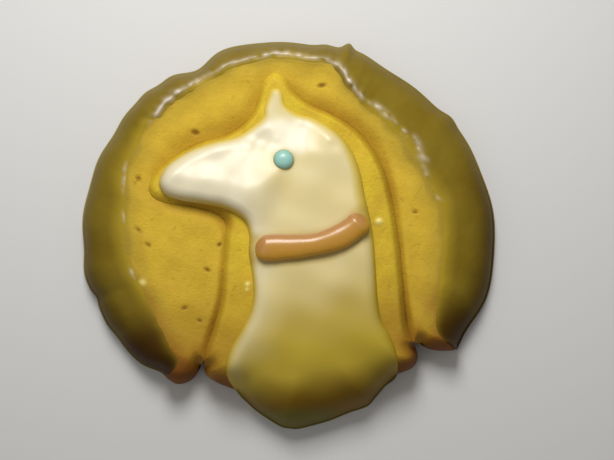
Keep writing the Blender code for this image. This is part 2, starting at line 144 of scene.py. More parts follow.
# %% [markdown]
# ## Surfaces between two rails
#
# Every large piece of this cookie is a flat form with a domed top. Its outline splits into two
# rails that start at one tip and meet at the other, as the two sides of a leaf do. A point of the
# surface is a function of two parameters: how far along the rails, and how far across between
# them. Its height follows from its distance to an edge, which keeps all relief smooth, whichever
# way the grid runs.

# %% Curves through given points
def evenly(line, spacing):
    """The polyline with points one spacing apart, its two ends kept."""
    length = running_length(line)[-1]
    return place_at(line, np.linspace(0.0, length, max(2, round(length / spacing) + 1)))


def running_length(line):
    """Length along the polyline up to each of its points."""
    return np.r_[0.0, np.cumsum(np.linalg.norm(np.diff(line, axis=0), axis=1))]


def place_at(line, lengths):
    """The points of the polyline at these lengths from its start."""
    along = running_length(line)
    return np.column_stack([np.interp(lengths, along, line[:, axis]) for axis in (0, 1)])


def lengths_at(line, places):
    """Lengths along the polyline up to its points nearest to these places."""
    gaps = np.linalg.norm(line[None] - np.array(places)[:, None], axis=2)
    return running_length(line)[gaps.argmin(1)]


def smooth_line(points, spacing=0.5, steps=16):
    """A Catmull-Rom curve: each span is a cubic whose slope at a point is half the step between
    that point's two neighbours."""
    points = np.array(points, float)
    knots = np.vstack([2 * points[0] - points[1], points, 2 * points[-1] - points[-2]])
    before, start, finish, after = knots[:-3], knots[1:-2], knots[2:-1], knots[3:]
    t = np.linspace(0.0, 1.0, steps, endpoint=False)[None, :, None]
    span = [part[:, None] for part in (before, start, finish, after)]
    curve = 0.5 * (
        2 * span[1]
        + (span[2] - span[0]) * t
        + (2 * span[0] - 5 * span[1] + 4 * span[2] - span[3]) * t**2
        + (3 * span[1] - span[0] - 3 * span[2] + span[3]) * t**3
    )
    return evenly(np.vstack([curve.reshape(-1, 2), points[-1:]]), spacing)


def sideways(line):
    """At each point of the line, a step of length 1 to the left of its direction."""
    along = np.gradient(line, axis=0)
    left = np.column_stack([-along[:, 1], along[:, 0]])
    return left / np.linalg.norm(left, axis=1)[:, None]


# %% Distances and rounded edges
def nearest_on(x, y, line):
    """Distance from each point to the polyline, and the length along it to the nearest place. Each
    point is dropped onto every segment, and the shortest drop is kept."""
    points = np.column_stack([np.ravel(x), np.ravel(y)]).astype(np.float32)
    line = line.astype(np.float32)
    along = np.diff(line, axis=0)
    offset = points[:, None] - line[None, :-1]
    share = np.clip((offset * along).sum(2) / (along**2).sum(1), 0.0, 1.0)
    drop = ((offset - share[..., None] * along) ** 2).sum(2)
    best = drop.argmin(1)
    row = np.arange(len(points))
    lengths = running_length(line)
    at = lengths[best] + share[row, best] * np.diff(lengths)[best]
    shape = np.shape(x)
    return np.sqrt(drop[row, best]).reshape(shape), at.reshape(shape)


def distance_to(x, y, line):
    """Distance from each point to the polyline."""
    return nearest_on(x, y, line)[0]


def distance_inside(x, y, line):
    """Distance from the polyline, positive on the left of its direction and negative on the right."""
    distance, at = nearest_on(x, y, line)
    along, step = running_length(line), np.gradient(line, axis=0)
    off_x, off_y = (v - np.interp(at, along, line[:, k]) for k, v in enumerate((x, y)))
    step_x, step_y = (np.interp(at, along, step[:, k]) for k in (0, 1))
    return distance * np.sign(step_x * off_y - step_y * off_x)


def rounded(distance, width):
    """0 at an edge, rising as a quarter circle to 1 at the given width from it."""
    share = np.clip(distance / width, 0.0, 1.0)
    return np.sqrt(1.0 - (1.0 - share) ** 2)


def ramp(value, low, high):
    """0 at low, 1 at high, with an S curve between. It also runs down, when high is the lower."""
    share = np.clip((value - low) / (high - low), 0.0, 1.0)
    return share * share * (3.0 - 2.0 * share)


def band(value, start, full, ease, finish):
    """1 from full to ease, falling to 0 at start and at finish."""
    return ramp(value, start, full) * ramp(value, finish, ease)


def bell(*offsets):
    """1 where all the offsets are 0, falling off as exp of minus the sum of their squares."""
    return np.exp(-sum(offset**2 for offset in offsets))


def straight(value, table):
    """The table's number at a value, with straight lines between its entries."""
    return np.interp(value, *np.array(table).T)


def eased(value, table):
    """The table's number at a value, with an S curve from each of its entries to the next."""
    at, number = np.array(table).T
    k = np.clip(np.searchsorted(at, value) - 1, 0, len(at) - 2)
    return number[k] + (number[k + 1] - number[k]) * ramp(value, at[k], at[k + 1])


def soft_min(first, second, width):
    """The lower of two heights, with the crease between them rounded over the given width."""
    share = np.clip(0.5 + 0.5 * (second - first) / width, 0.0, 1.0)
    return second + (first - second) * share - width * share * (1.0 - share)


def unevenness(x, y, length, seed, waves=24):
    """Smooth noise of about unit size: a sum of plane waves whose directions, phases and lengths
    are drawn at random round the given length."""
    draw = np.random.default_rng(seed)
    turn = draw.uniform(0.0, 2 * math.pi, waves)
    pace = 2 * math.pi / (length * draw.uniform(0.7, 1.5, waves))
    phase = draw.uniform(0.0, 2 * math.pi, waves)
    across, up = (np.multiply.outer(v, pace * part(turn)) for v, part in ((x, np.cos), (y, np.sin)))
    return np.cos(across + up + phase).sum(-1) * math.sqrt(2.0 / waves)


def ripples(x, y, table):
    """A sum of unevenness, each with a height, a length and a seed."""
    return sum(height * unevenness(x, y, length, seed) for height, length, seed in table)


# %% Grids between two rails
def share_across(count):
    """Shares from 0 to 1 that crowd towards both ends, where the edges are rounded."""
    return 0.5 - 0.5 * np.cos(np.linspace(0.0, math.pi, count))


def paired_rails(rail, other, stations, rows):
    """The same number of points on both rails. The first is divided evenly, and the second so that
    its stations lie opposite the first one's."""
    here, there = (
        np.r_[0.0, lengths_at(side, stops), running_length(side)[-1]]
        for side, stops in zip((rail, other), zip(*stations))
    )
    at = np.linspace(0.0, here[-1], rows)
    return place_at(rail, at), place_at(other, np.interp(at, here, there))


def between(rails, across):
    """x and y of the grid: each row is a straight line from the first rail to the second."""
    rail, other = (side[:, None] for side in rails)
    grid = rail + (other - rail) * across[None, :, None]
    return grid[..., 0], grid[..., 1]


# %% A closed piece from a grid of points
def ring_faces(rows, columns):
    """Quads of a grid whose columns close on themselves."""
    corner = np.arange(rows * columns).reshape(rows, columns)
    next_column = np.roll(corner, -1, axis=1)
    quads = [corner[:-1], next_column[:-1], next_column[1:], corner[1:]]
    return np.stack(quads, axis=-1).reshape(-1, 4)


def close_poles(mesh):
    """Merges the points that fall together at the tips, and turns all faces out."""
    bm = bmesh.new()
    bm.from_mesh(mesh)
    bmesh.ops.remove_doubles(bm, verts=bm.verts, dist=0.000001)
    bmesh.ops.dissolve_degenerate(bm, edges=bm.edges, dist=0.000001)
    bmesh.ops.recalc_face_normals(bm, faces=bm.faces)
    bm.to_mesh(mesh)
    bm.free()
    mesh.shade_smooth()


def grid_piece(name, node, grid, marks):
    """A closed piece from x, y and z in millimetres, with a number from 0 to 1 stored at each point for
    each mark. It stands for a node of the frame, whose plain solid it hides."""
    x, y, z = np.broadcast_arrays(*grid)
    points = np.stack([x, y, z], axis=-1).reshape(-1, 3) * MM
    mesh = bpy.data.meshes.new(name)
    mesh.from_pydata(points.tolist(), [], ring_faces(*x.shape).tolist())
    for key, values in marks.items():
        numbers = np.clip(np.broadcast_to(values, x.shape), 0.0, 1.0).ravel()
        mesh.attributes.new(key, "FLOAT", "POINT").data.foreach_set("value", numbers.astype(np.float32))
    close_poles(mesh)
    piece = bpy.data.objects.new(name, mesh)
    bpy.context.scene.collection.objects.link(piece)
    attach(piece, "root")
    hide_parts(node)
    print(name, len(mesh.polygons), "faces")
    return piece


def leaf_piece(name, node, rails, top, underside, marks, columns, low_columns=2):
    """A closed piece between two rails. top and underside give a height for x and y, and marks
    gives numbers from 0 to 1 for x, y and height."""
    upper = between(rails, share_across(columns))
    lower = between(rails, share_across(low_columns)[::-1])
    x, y = (np.concatenate(halves, axis=1) for halves in zip(upper, lower))
    z = np.concatenate([top(*upper), underside(*lower)], axis=1)
    return grid_piece(name, node, (x, y, z), marks(x, y, z))


# %% [markdown]
# ## The outlines
#
# The outlines are listed in millimetres from the cookie's middle, as seen from above. The tail's rim is
# nearly a circle, so it has a formula instead: a radius for each angle, slightly wider than tall, with a
# few peaks and dents where the glaze set unevenly.

# %% Sizes shared by the pieces
TAIL_TOP = 8.6
BIRD_TOP = 9.5
RIM_WALL = 1.2
END_WALL = 2.0
END_ROUNDING = 3.6
UNDERLAP = 0.05
ICING_THICKNESS = 2.2
FOOT_THICKNESS = 0.35
FOOT_WIDTH = 0.4
SKIRT = 1.6
LIP_ROUNDING = 1.5
SUNK = 0.15
LUMP_HEIGHT = 0.15
LUMP_LENGTH = 13.0
CREASE = 0.5
FOOT_CREASE = 0.4
LEAST_SLOPE = 1.6
RAIL_SPACING = 0.3

# %% The bird's outline
SEAM_LEFT = (
    (-16.3, -25.3), (-15.9, -22), (-14.4, -17.4), (-13.1, -12.4), (-12.6, -6.4), (-12.1, -0.1),
    (-12.4, 2.8), (-14.6, 4.5), (-18.7, 5.6), (-23, 6.2), (-25.8, 7.2), (-26.8, 9.3), (-25.9, 11.8),
    (-23.5, 14), (-20, 16.3), (-16, 18.1), (-12, 19.3), (-8.8, 21.2), (-6.7, 23.8), (-5.8, 26.8),
    (-4.8, 29.6), (-2.7, 31.1),
)
SEAM_RIGHT = (
    (-2.7, 31.1), (-0.6, 29.9), (0.9, 27.6), (3.6, 25.3), (7.6, 23.5), (11.4, 21.3), (14.4, 18.6),
    (16.9, 15.1), (18.7, 11.2), (20.2, 5), (21.2, -2), (22, -10), (22.6, -16.4), (23.3, -19.4),
    (24.4, -21.6),
)
BIRD_FOOT_RIGHT = (
    (1.2, -35.3), (6.9, -33.8), (10.8, -32.2), (14.3, -30.9), (16.4, -28.7), (19, -27.1), (21.8, -26.4),
    (24, -25.3), (24.8, -23.4),
)
BIRD_FOOT_LEFT = (
    (1.2, -35.3), (-1, -34.9), (-3.4, -33.4), (-5.6, -31.9), (-8, -30.6), (-11, -29.5), (-14.2, -28.2),
    (-16, -26.8),
)
seam_line = smooth_line(SEAM_LEFT[:-1] + SEAM_RIGHT)
foot_line = smooth_line((SEAM_LEFT[0],) + BIRD_FOOT_LEFT[::-1] + BIRD_FOOT_RIGHT[1:] + (SEAM_RIGHT[-1],))
crest_tip = np.linalg.norm(seam_line - SEAM_RIGHT[0], axis=1).argmin()
foot_left = smooth_line(BIRD_FOOT_LEFT + SEAM_LEFT[:1])
foot_right = smooth_line(BIRD_FOOT_RIGHT + SEAM_RIGHT[-1:])
bird_left = evenly(np.vstack([foot_left, seam_line[1 : crest_tip + 1]]), RAIL_SPACING)
bird_right = evenly(np.vstack([foot_right, seam_line[crest_tip:-1][::-1]]), RAIL_SPACING)
print("seam length in mm:", round(running_length(seam_line)[-1], 1))

# %% How deep and wide the groove at the seam is
# Each station has a place, a depth, and a width on the tail's side and on the bird's.
GROOVE = (
    (-16.3, -25.3, 1.4, 2, 1.8), (-14.4, -17.4, 1.9, 1.7, 1.6), (-13.1, -12.4, 1.6, 1.5, 1.5),
    (-12.6, -6.4, 1, 1.3, 1.4), (-12.1, -0.1, 1, 1.2, 1.4), (-12.4, 2.8, 1.5, 2.7, 2.3),
    (-18.7, 5.6, 1.2, 3, 2.3), (-25.8, 7.2, 0.7, 2.8, 2), (-26.8, 9.3, 0.4, 2.8, 1.4),
    (-23.5, 14, 1.2, 4.4, 0.9), (-16, 18.1, 1.5, 5.2, 0.9), (-8.8, 21.2, 1.6, 4.8, 1),
    (-5.8, 26.8, 0.9, 3.4, 1.2), (-2.7, 31.1, 0.15, 2, 1.8), (0.9, 27.6, 1, 3.2, 1.2),
    (7.6, 23.5, 1.9, 4, 1.1), (14.4, 18.6, 1.9, 3.6, 1.2), (18.7, 11.2, 1.7, 2.2, 1.4),
    (21.2, -2, 1.4, 1.4, 1.7), (22, -10, 1.5, 1.4, 1.6), (22.6, -16.4, 2.4, 1.8, 1.7),
    (24.4, -21.6, 1.4, 2, 1.8),
)


def groove(x, y):
    """Distance from the seam, and the groove's depth and its width on each side, which change evenly along
    the seam from one listed station to the next."""
    distance, at = nearest_on(x, y, seam_line)
    stations = np.array(GROOVE)
    knots = lengths_at(seam_line, stations[:, :2])
    return distance, *(np.interp(at, knots, stations[:, k]) for k in (2, 3, 4))


def fall(distance, width, depth):
    """1 at the seam and 0 past the width: an S curve where the groove is shallow, and sharpened
    towards a crease where it is deep."""
    crease = 0.15 + 0.45 * ramp(depth, 2.0, 5.0)
    soft = 1.0 - ramp(distance, -0.35 * width, width)
    sharp = 1.0 - rounded(distance, 0.7 * width)
    return (1.0 - crease) * soft + crease * sharp


# %% The icing's outline
ICING_LEFT = (
    (0.4, -37.3), (-1.4, -37), (-4, -35.5), (-6.2, -34), (-8, -32.4), (-9.9, -30.4), (-11.7, -27.4),
    (-12.1, -24.9), (-11.2, -21.6), (-9.2, -18.2), (-7.5, -14.7), (-6.8, -11.1), (-7.1, -7), (-7.7, -3.2),
    (-7.6, 0.1), (-8.6, 2.9), (-11.9, 5), (-16.4, 6), (-20.6, 6.7), (-23.6, 7.8), (-24.8, 10),
    (-23.8, 12.6), (-21.4, 14.7), (-18.1, 16.6), (-14.2, 18), (-10, 19), (-7.1, 20.7), (-5, 22.6),
    (-4.7, 24.5), (-3.9, 26.8), (-3.4, 27.9), (-2.4, 28.2),
)
ICING_RIGHT = (
    (0.4, -37.3), (2.1, -37.3), (7.4, -35.9), (11.7, -34.2), (15.1, -33), (16.8, -31.2), (18.6, -29.1),
    (20.6, -27.4), (20.9, -24.9), (20.3, -21.6), (19.2, -18.9), (17.7, -16.2), (17, -12.4), (16.6, -6.6),
    (16.2, -0.9), (15.5, 3.4), (14.6, 7.2), (13.7, 11.8), (12.3, 15.7), (10.2, 18.8), (7.5, 21),
    (4.6, 22.5), (1.5, 23.4), (-0.6, 24.9), (-1.1, 26.9), (-1.6, 27.9), (-2.4, 28.2),
)
EYE_CENTRE = (-1.0, 14.5)
EYE_RADIUS = 1.98
COLLAR_LINE = (
    (-6.4, -2.2), (-4.6, -2.4), (-1.7, -2.3), (2.1, -2.1), (6, -1.5), (9.8, -0.2), (12.3, 1.4),
    (14.6, 3.5),
)
FOOT_POINTS_LEFT = 6
FOOT_POINTS_RIGHT = 8
icing_left = smooth_line(ICING_LEFT, RAIL_SPACING)
icing_right = smooth_line(ICING_RIGHT, RAIL_SPACING)
icing_foot = smooth_line(ICING_LEFT[:FOOT_POINTS_LEFT][::-1] + ICING_RIGHT[1:FOOT_POINTS_RIGHT])
left_side, right_side = ICING_LEFT[FOOT_POINTS_LEFT - 1 : -1], ICING_RIGHT[FOOT_POINTS_RIGHT - 1 :]
icing_sides = smooth_line(left_side + right_side[::-1])
print("icing sides in mm:", round(running_length(icing_sides)[-1], 1))

# %% The tail's rim
TAIL_RADIUS = 38.6
TAIL_WIDENING = 1.3
TAIL_LEAN = -0.7
# A wave has a count, a height and a phase. A feature has an angle, a height and a half width.
WAVES = ((11, 0.16, 40.0), (17, 0.12, 0.0))
RIM_FEATURES = (
    (3, -0.35, 8), (36, 0.6, 3), (43, -0.5, 8), (70, 0.5, 6), (72.6, 1.1, 1.6), (79, 0.5, 3),
    (119, -1.7, 6), (131, -0.8, 4), (139, -0.4, 4), (151, -0.7, 6), (167, -0.5, 8), (190, 0.7, 5),
    (198, -0.5, 2), (206, 0.3, 3), (228, -1.6, 5), (331, -1.1, 8),
)
TAIL_START = -34.4
TAIL_FINISH = 229.6
END_TAPER = 5.0
END_STEP = 1.0
TAIL_RIGHT_END = ((25.4, -20.8), (26.8, -21.8), (29.0, -22.2), (31.4, -22.2))
TAIL_LEFT_END = ((-23.0, -27.9), (-21.6, -28.6), (-19.6, -28.3), (-18.0, -27.0), (-17.1, -25.0))


def rim_radius(angle):
    """Radius of the glaze's edge on the plate at an angle in degrees: a circle, made wider and
    turned a little by waves of twice the angle, with finer waves and a bell for each feature."""
    turn = np.radians(angle)
    radius = TAIL_RADIUS + TAIL_WIDENING * np.cos(2 * turn) + TAIL_LEAN * np.sin(2 * turn)
    for count, height, phase in WAVES:
        radius = radius + height * np.sin(count * turn + math.radians(phase))
    for at, height, half_width in RIM_FEATURES:
        radius = radius + height * bell(((angle - at + 180.0) % 360.0 - 180.0) / half_width)
    return radius


# %% The upper edge of the glaze
LIP_RADII = (
    (-34.4, 34.9), (-32.4, 33.1), (-29, 31.7), (-25.5, 30.9), (-20, 30.1), (-13, 29.4), (-5, 29.2),
    (6, 29.2), (12, 29), (18, 28.4), (28, 27.7), (40, 27.8), (51, 28), (57, 28), (61, 28.6), (64.5, 29.5),
    (69.5, 30.7), (72, 31.8), (74.5, 33), (77, 33.7), (83, 33.4), (90, 33.7), (96, 34), (103, 33.7),
    (109, 33.8), (114, 33.3), (125, 33.3), (132, 33.6), (137, 33.4), (141, 34.1), (149, 33.5), (156, 33.2),
    (160, 32.8), (165, 32.1), (170, 31.5), (182, 30.8), (190, 30.5), (200, 29.6), (206, 29.4), (211, 29.5),
    (216, 29.9), (221, 30.6), (226, 31), (229.6, 31.6),
)
LIP_END = 1.2
lip_knots = smooth_line(LIP_RADII)


def from_tail_end(angle):
    """Degrees from the nearer of the tail's two ends."""
    return np.maximum(np.minimum(angle - TAIL_START, TAIL_FINISH - angle), 0.0)


def glaze_width(angle):
    """From the rim to the lip, closing as a quarter circle at the tail's two ends."""
    width = rim_radius(angle) - straight(angle, lip_knots)
    return width * rounded(from_tail_end(angle), LIP_END)


def skirt_width(angle):
    """How far the glaze reaches past the dough: nothing at the tail's two ends."""
    return SKIRT * np.clip(from_tail_end(angle) / END_TAPER, 0.0, 1.0)


def dough_radius(angle):
    """The rim's radius, less the skirt of glaze beside the dough."""
    return rim_radius(angle) - skirt_width(angle)


def angle_of(x, y):
    """Angle round the origin in degrees, from -90 to 270."""
    angle = np.degrees(np.arctan2(y, x))
    return np.where(angle < -90.0, angle + 360.0, angle)


def polar_line(radius, start, finish, count=600):
    """The line at radius(angle) from one angle to another."""
    angle = np.linspace(start, finish, count)
    turn = np.radians(angle)
    return radius(angle)[:, None] * np.column_stack([np.cos(turn), np.sin(turn)])


right_end, left_end = smooth_line(TAIL_RIGHT_END), smooth_line(TAIL_LEFT_END)
rim_arc = polar_line(dough_radius, TAIL_START + END_STEP, TAIL_FINISH - END_STEP)
tail_rim = np.vstack([right_end, rim_arc, left_end])
print("rim length in mm:", round(running_length(tail_rim)[-1], 1))


# %% Heights of the dough
def lumps(x, y):
    """Low waves in two directions."""
    across, up = x * 2 * math.pi / LUMP_LENGTH, y * 2 * math.pi / LUMP_LENGTH
    return LUMP_HEIGHT * np.sin(across + 0.6 * up) * np.sin(up - 0.3 * across + 1.0)


def to_tail_end(x, y):
    """Distance to the nearer of the tail's two end walls."""
    return np.minimum(distance_to(x, y, right_end), distance_to(x, y, left_end))


def tail_height(x, y):
    """Domed at the rim, rounded at the seam and at the tail's two ends."""
    angle = angle_of(x, y)
    inward = np.maximum(dough_radius(angle) - np.hypot(x, y), 0.0)
    slope = np.maximum(glaze_width(angle) - skirt_width(angle) + 0.4, LEAST_SLOPE)
    level = TAIL_TOP + lumps(x, y)
    rim = RIM_WALL + (level - RIM_WALL) * rounded(inward, slope)
    distance, depth, wide, _ = groove(x, y)
    seam = level - depth * fall(distance, wide, depth)
    end = END_WALL + (level - END_WALL) * rounded(to_tail_end(x, y), END_ROUNDING)
    return soft_min(np.minimum(rim, seam), end, CREASE)


FOOT_SLOPE_LONG = 12.5
FOOT_SLOPE_SHORT = 4.0
FOOT_MIDDLE_X = 3.5
FOOT_HALF_WIDTH = 13.0


def foot_slope(x):
    """Length of the slope at the bird's foot: long in the middle, short at the corners."""
    aside = (x - FOOT_MIDDLE_X) / FOOT_HALF_WIDTH
    return FOOT_SLOPE_SHORT + (FOOT_SLOPE_LONG - FOOT_SLOPE_SHORT) * np.exp(-(aside**4))


def bird_height(x, y):
    """Rounded at the seam, with a long slope at the foot."""
    level = BIRD_TOP + lumps(x, y)
    distance, depth, _, wide = groove(x, y)
    seam = level - (depth + BIRD_TOP - TAIL_TOP) * fall(distance, wide, depth)
    foot = RIM_WALL + (level - RIM_WALL) * rounded(distance_to(x, y, foot_line), foot_slope(x))
    return soft_min(seam, foot, FOOT_CREASE)


# %% Marks on the dough
PINHOLES = (
    (-17.9, 19.7, 0.5, 0.8, 70), (6.3, 28.7, 0.75, 0.4, 10), (-28.8, 10.9, 0.35, 0.6, 60),
    (-28.8, 1.1, 0.7, 0.3, -40), (-26.9, -1.8, 0.6, 0.35, -40), (-13.3, -1.8, 0.5, 0.35, 30),
    (-15.6, -6.6, 0.35, 0.6, 60), (-20, -13.9, 0.6, 0.3, 20), (24.2, 4.5, 0.3, 0.5, 90),
    (-17.1, -16.3, 0.5, 0.25, -20),
)
PINHOLE_DEPTH = 0.45
# A drop has a place, a size and a height. On the dough each drop is painted a light yellow, a painted
# glint on it, and the glaze drop is painted only, with no relief.
ICING_DROPS = ((17.2, 2.7, 0.55, 0.55), (-7.9, -9.3, 0.4, 0.4), (-8.0, -10.3, 0.3, 0.3))
GLAZE_DROP = ((-28.0, -8.9, 0.5477, 1.0),)
DROP_RELIEF = 0.8
SMALLEST_DROP = 0.3
# The crumb's ripples have a height, a length and a seed.
CRUMB = ((0.03, 4.5, 11), (0.01, 1.3, 12))
CRUMB_SHIFT = 50.0


def pinholes(x, y):
    """1 in the middle of each pinhole, fading to 0 past its edge. Each has a place, two half
    widths and a turn in degrees."""
    depth = np.zeros_like(x)
    for at_x, at_y, wide, narrow, turn in PINHOLES:
        c, s = math.cos(math.radians(turn)), math.sin(math.radians(turn))
        along, aside = (x - at_x) * c + (y - at_y) * s, (y - at_y) * c - (x - at_x) * s
        depth = np.maximum(depth, np.exp(-(((along / wide) ** 2 + (aside / narrow) ** 2) ** 1.5)))
    return depth


def spots(x, y, places):
    """Round spots with soft edges: a bell of a size and a height at each place."""
    return sum(height * bell((x - at_x) / size, (y - at_y) / size) for at_x, at_y, size, height in places)


def with_relief(smooth, lifted):
    """The smooth height with its relief, which fades out on the walls near the plate."""
    return smooth + lifted * ramp(smooth, 2.0, 5.0)


# %% [markdown]
# ## The dough
#
# The dough is cut out, pressed together and baked, so the tail and the bird meet in a soft groove.
# Its top is nearly level, with a fine uneven crumb, a few pinholes where bubbles opened, and edges that
# brown first. A formula sets the large form, noise adds the crumb, and marks stored at each point tell the
# material where the dough has browned and where shade and glints are painted.

# %% Tail dough
# Each station is a place on one rail and the place opposite it on the other.
TAIL_STATIONS = (
    ((34.4, -17), (22.5, -15.9)), ((37.8, -4), (21.5, -4.3)), ((36.5, 10.5), (19.4, 8.5)),
    ((29, 22.5), (15.5, 17.2)), ((14.5, 33), (6, 24.2)), ((-2.7, 35.5), (-2.7, 31.1)),
    ((-13, 32.8), (-6.4, 24.6)), ((-20.5, 28.5), (-10.5, 20)), ((-30, 20.5), (-18.5, 17)),
    ((-35.6, 11.3), (-26.8, 9.3)), ((-37.6, 6), (-18.7, 5.6)), ((-38.2, 0), (-12.1, 0.5)),
    ((-35.3, -13), (-12.7, -8)), ((-29, -22.5), (-14, -16.5)),
)


def tail_top(x, y):
    """The dough's height with its crumb and its pinholes."""
    return with_relief(tail_height(x, y), ripples(x, y, CRUMB) - PINHOLE_DEPTH * pinholes(x, y))


def on_plate(x, y):
    """Height 0 everywhere, as a baked underside is flat."""
    return np.zeros_like(x)


def baked_more_and_shaded(x, y):
    """The dough is darker towards the bird's foot, partly as it took more colour there and partly as
    painted shade where the light falls off: 0 above the collar, 1 at the foot.
    """
    return ramp(-y + 1.5 * unevenness(x, y, 14.0, 24), 4.0, 24.0)


def endward(x, y):
    """Distance from the middle towards the tail's nearer end, 30 degrees aside of straight down."""
    return 0.5 * np.abs(x) - 0.87 * y


def mouth(x, y):
    """1 at the two open ends of the groove, fading to 0 along it and beside it."""
    return ramp(endward(x, y), 24.5, 29.0) * ramp(distance_to(x, y, seam_line), 4.2, 1.4)


def tail_marks(x, y, z):
    """browned: 1 at the two ends and low on the rim, less at the groove's mouths. baked: 1 towards the
    bird's foot, where the dough took more colour and where painted shade stands for the light falling off.
    Beside the glaze's lip a mark is 1 where its sugar went into the crumb and where the lip's shadow is
    painted. shaded: painted shade, 1 down in the groove and beside the low glaze. Another mark is 1 in a
    pinhole, where shade is painted, and one more is 1 on a drop of glaze, where a glint is painted."""
    angle = angle_of(x, y)
    ends = ramp(endward(x, y) + 0.3 * unevenness(x, y, 5.0, 21), np.where(x < 0.0, 26.6, 28.2), 33.2)
    walls = np.maximum(0.6 * ramp(to_tail_end(x, y), 1.0, 0.0), 0.5 * mouth(x, y))
    low = ramp(z, 6.5, 1.0) * ramp(dough_radius(angle) - np.hypot(x, y), 4.0, 2.0)
    past_lip = rim_radius(angle) - np.hypot(x, y) - glaze_width(angle)
    past = past_lip + 0.3 * unevenness(x, y, 6.0, 23)
    # Beside the lip the dough is darker, partly from glaze sugar that went into the crumb and partly as a
    # painted shadow cast by the lip.
    soaked_and_shaded = np.maximum(0.45 * ramp(past, 4.2, 0.5), ramp(past, 1.9, -0.5))
    beside = ramp(past_lip + 0.3 * unevenness(x, y, 4.0, 25), 3.0, -0.6) * ramp(-y, 5.0, 14.0)
    distance, depth, wide, _ = groove(x, y)
    shaded = ramp(distance, wide, 0.2) * np.clip(depth / 2.4, 0.0, 1.0) * (1.0 - mouth(x, y))
    return {
        "browned": np.maximum(0.9 * low, np.maximum(ends, walls)),
        "baked": baked_more_and_shaded(x, y),
        "soaked_and_shaded": soaked_and_shaded,
        "shaded": np.maximum(shaded, 0.9 * beside),
        "pinhole_shade": pinholes(x, y),
        "drop_and_glint": spots(x, y, GLAZE_DROP),
    }


# The tail's dough reaches a hair under the bird's, so that no light shows between them. At both
# ends the seam's last points give way to the tail's end walls.
seam_rail = (seam_line - UNDERLAP * sideways(seam_line))[::-1]
seam_rail = np.vstack([right_end[:1], seam_rail[3:-3], left_end[-1:]])
rails = paired_rails(tail_rim, seam_rail, TAIL_STATIONS, rows=440)
tail = leaf_piece("tail_dough_baked", "tail_dough", rails, tail_top, on_plate, tail_marks, columns=84)

# %% Bird dough
BIRD_STATIONS = (
    ((-16.3, -25.3), (24.6, -22.6)), ((-13.1, -12.4), (22.2, -12.4)), ((-12.1, -0.1), (20.9, 1)),
    ((-18.7, 5.6), (20, 5.6)), ((-26.8, 9.3), (19.2, 9.3)), ((-23.5, 14), (17.6, 13.6)),
    ((-16, 18.1), (14.4, 18.6)), ((-8.8, 21.2), (8.5, 23.1)), ((-5.8, 26.8), (1.6, 26.9)),
)


def bird_top(x, y):
    """The dough's height with its drops and its crumb, which is shifted, so that it doesn't run on
    from the tail's."""
    lifted = ripples(x + CRUMB_SHIFT, y, CRUMB) + DROP_RELIEF * spots(x, y, ICING_DROPS)
    return with_relief(bird_height(x, y), lifted)


def bird_marks(x, y, z):
    """browned: 1 at the foot's edge, less at the groove's mouths. baked: 1 towards the foot, where the
    dough took more colour and where painted shade stands for the light falling off. shaded: painted shade,
    1 down in the groove and beneath the beak. Another mark is 1 on a drop of icing, where a glint is
    painted. The bird's dough has no pinholes, and only the tail's has glaze sugar and a painted shadow
    beside a lip."""
    to_foot = distance_to(x, y, foot_line)
    foot = ramp(to_foot + 0.3 * unevenness(x, y, 5.0, 22), 4.0, 0.2) * ramp(x, -17.5, -13.0)
    foot = np.maximum(np.maximum(foot, 0.6 * ramp(to_foot, 1.2, 0.1)), 0.5 * mouth(x, y))
    distance, depth, _, wide = groove(x, y)
    shaded = ramp(distance, 0.7 * wide, 0.0) * np.clip(depth / 3.0, 0.0, 1.0) * (1.0 - mouth(x, y))
    beneath = ramp(distance, 1.5 * wide, 0.3 * wide)
    beneath = beneath * band(x, -24.0, -19.0, -12.0, -9.0) * band(y, 0.0, 2.5, 6.5, 8.5)
    nothing = np.zeros_like(x)
    return {
        "browned": foot,
        # Towards the right the bird's dough is painted darker still, as shade where the light falls off.
        "baked": baked_more_and_shaded(x, y) + 0.25 * ramp(x, 14.0, 20.0),
        "soaked_and_shaded": nothing,
        "shaded": np.maximum(shaded, beneath),
        "pinhole_shade": nothing,
        "drop_and_glint": spots(x, y, ICING_DROPS) / SMALLEST_DROP,
    }


rails = paired_rails(bird_left, bird_right, BIRD_STATIONS, rows=420)
bird = leaf_piece("bird_dough_baked", "bird_dough", rails, bird_top, on_plate, bird_marks, columns=96)

# %% [markdown]
# ## The glaze on the rim
#
# The glaze was poured along the tail's sloping rim. It ran down to the plate, where it set as a
# thin foot. At the top it stands up in a rounded, wavering lip that catches the light. Down each
# side the lip breaks up into lumps and then thins out to nothing. The surface is a quarter round
# from the foot to the crown, and a table of angles says how proud the lip stands.

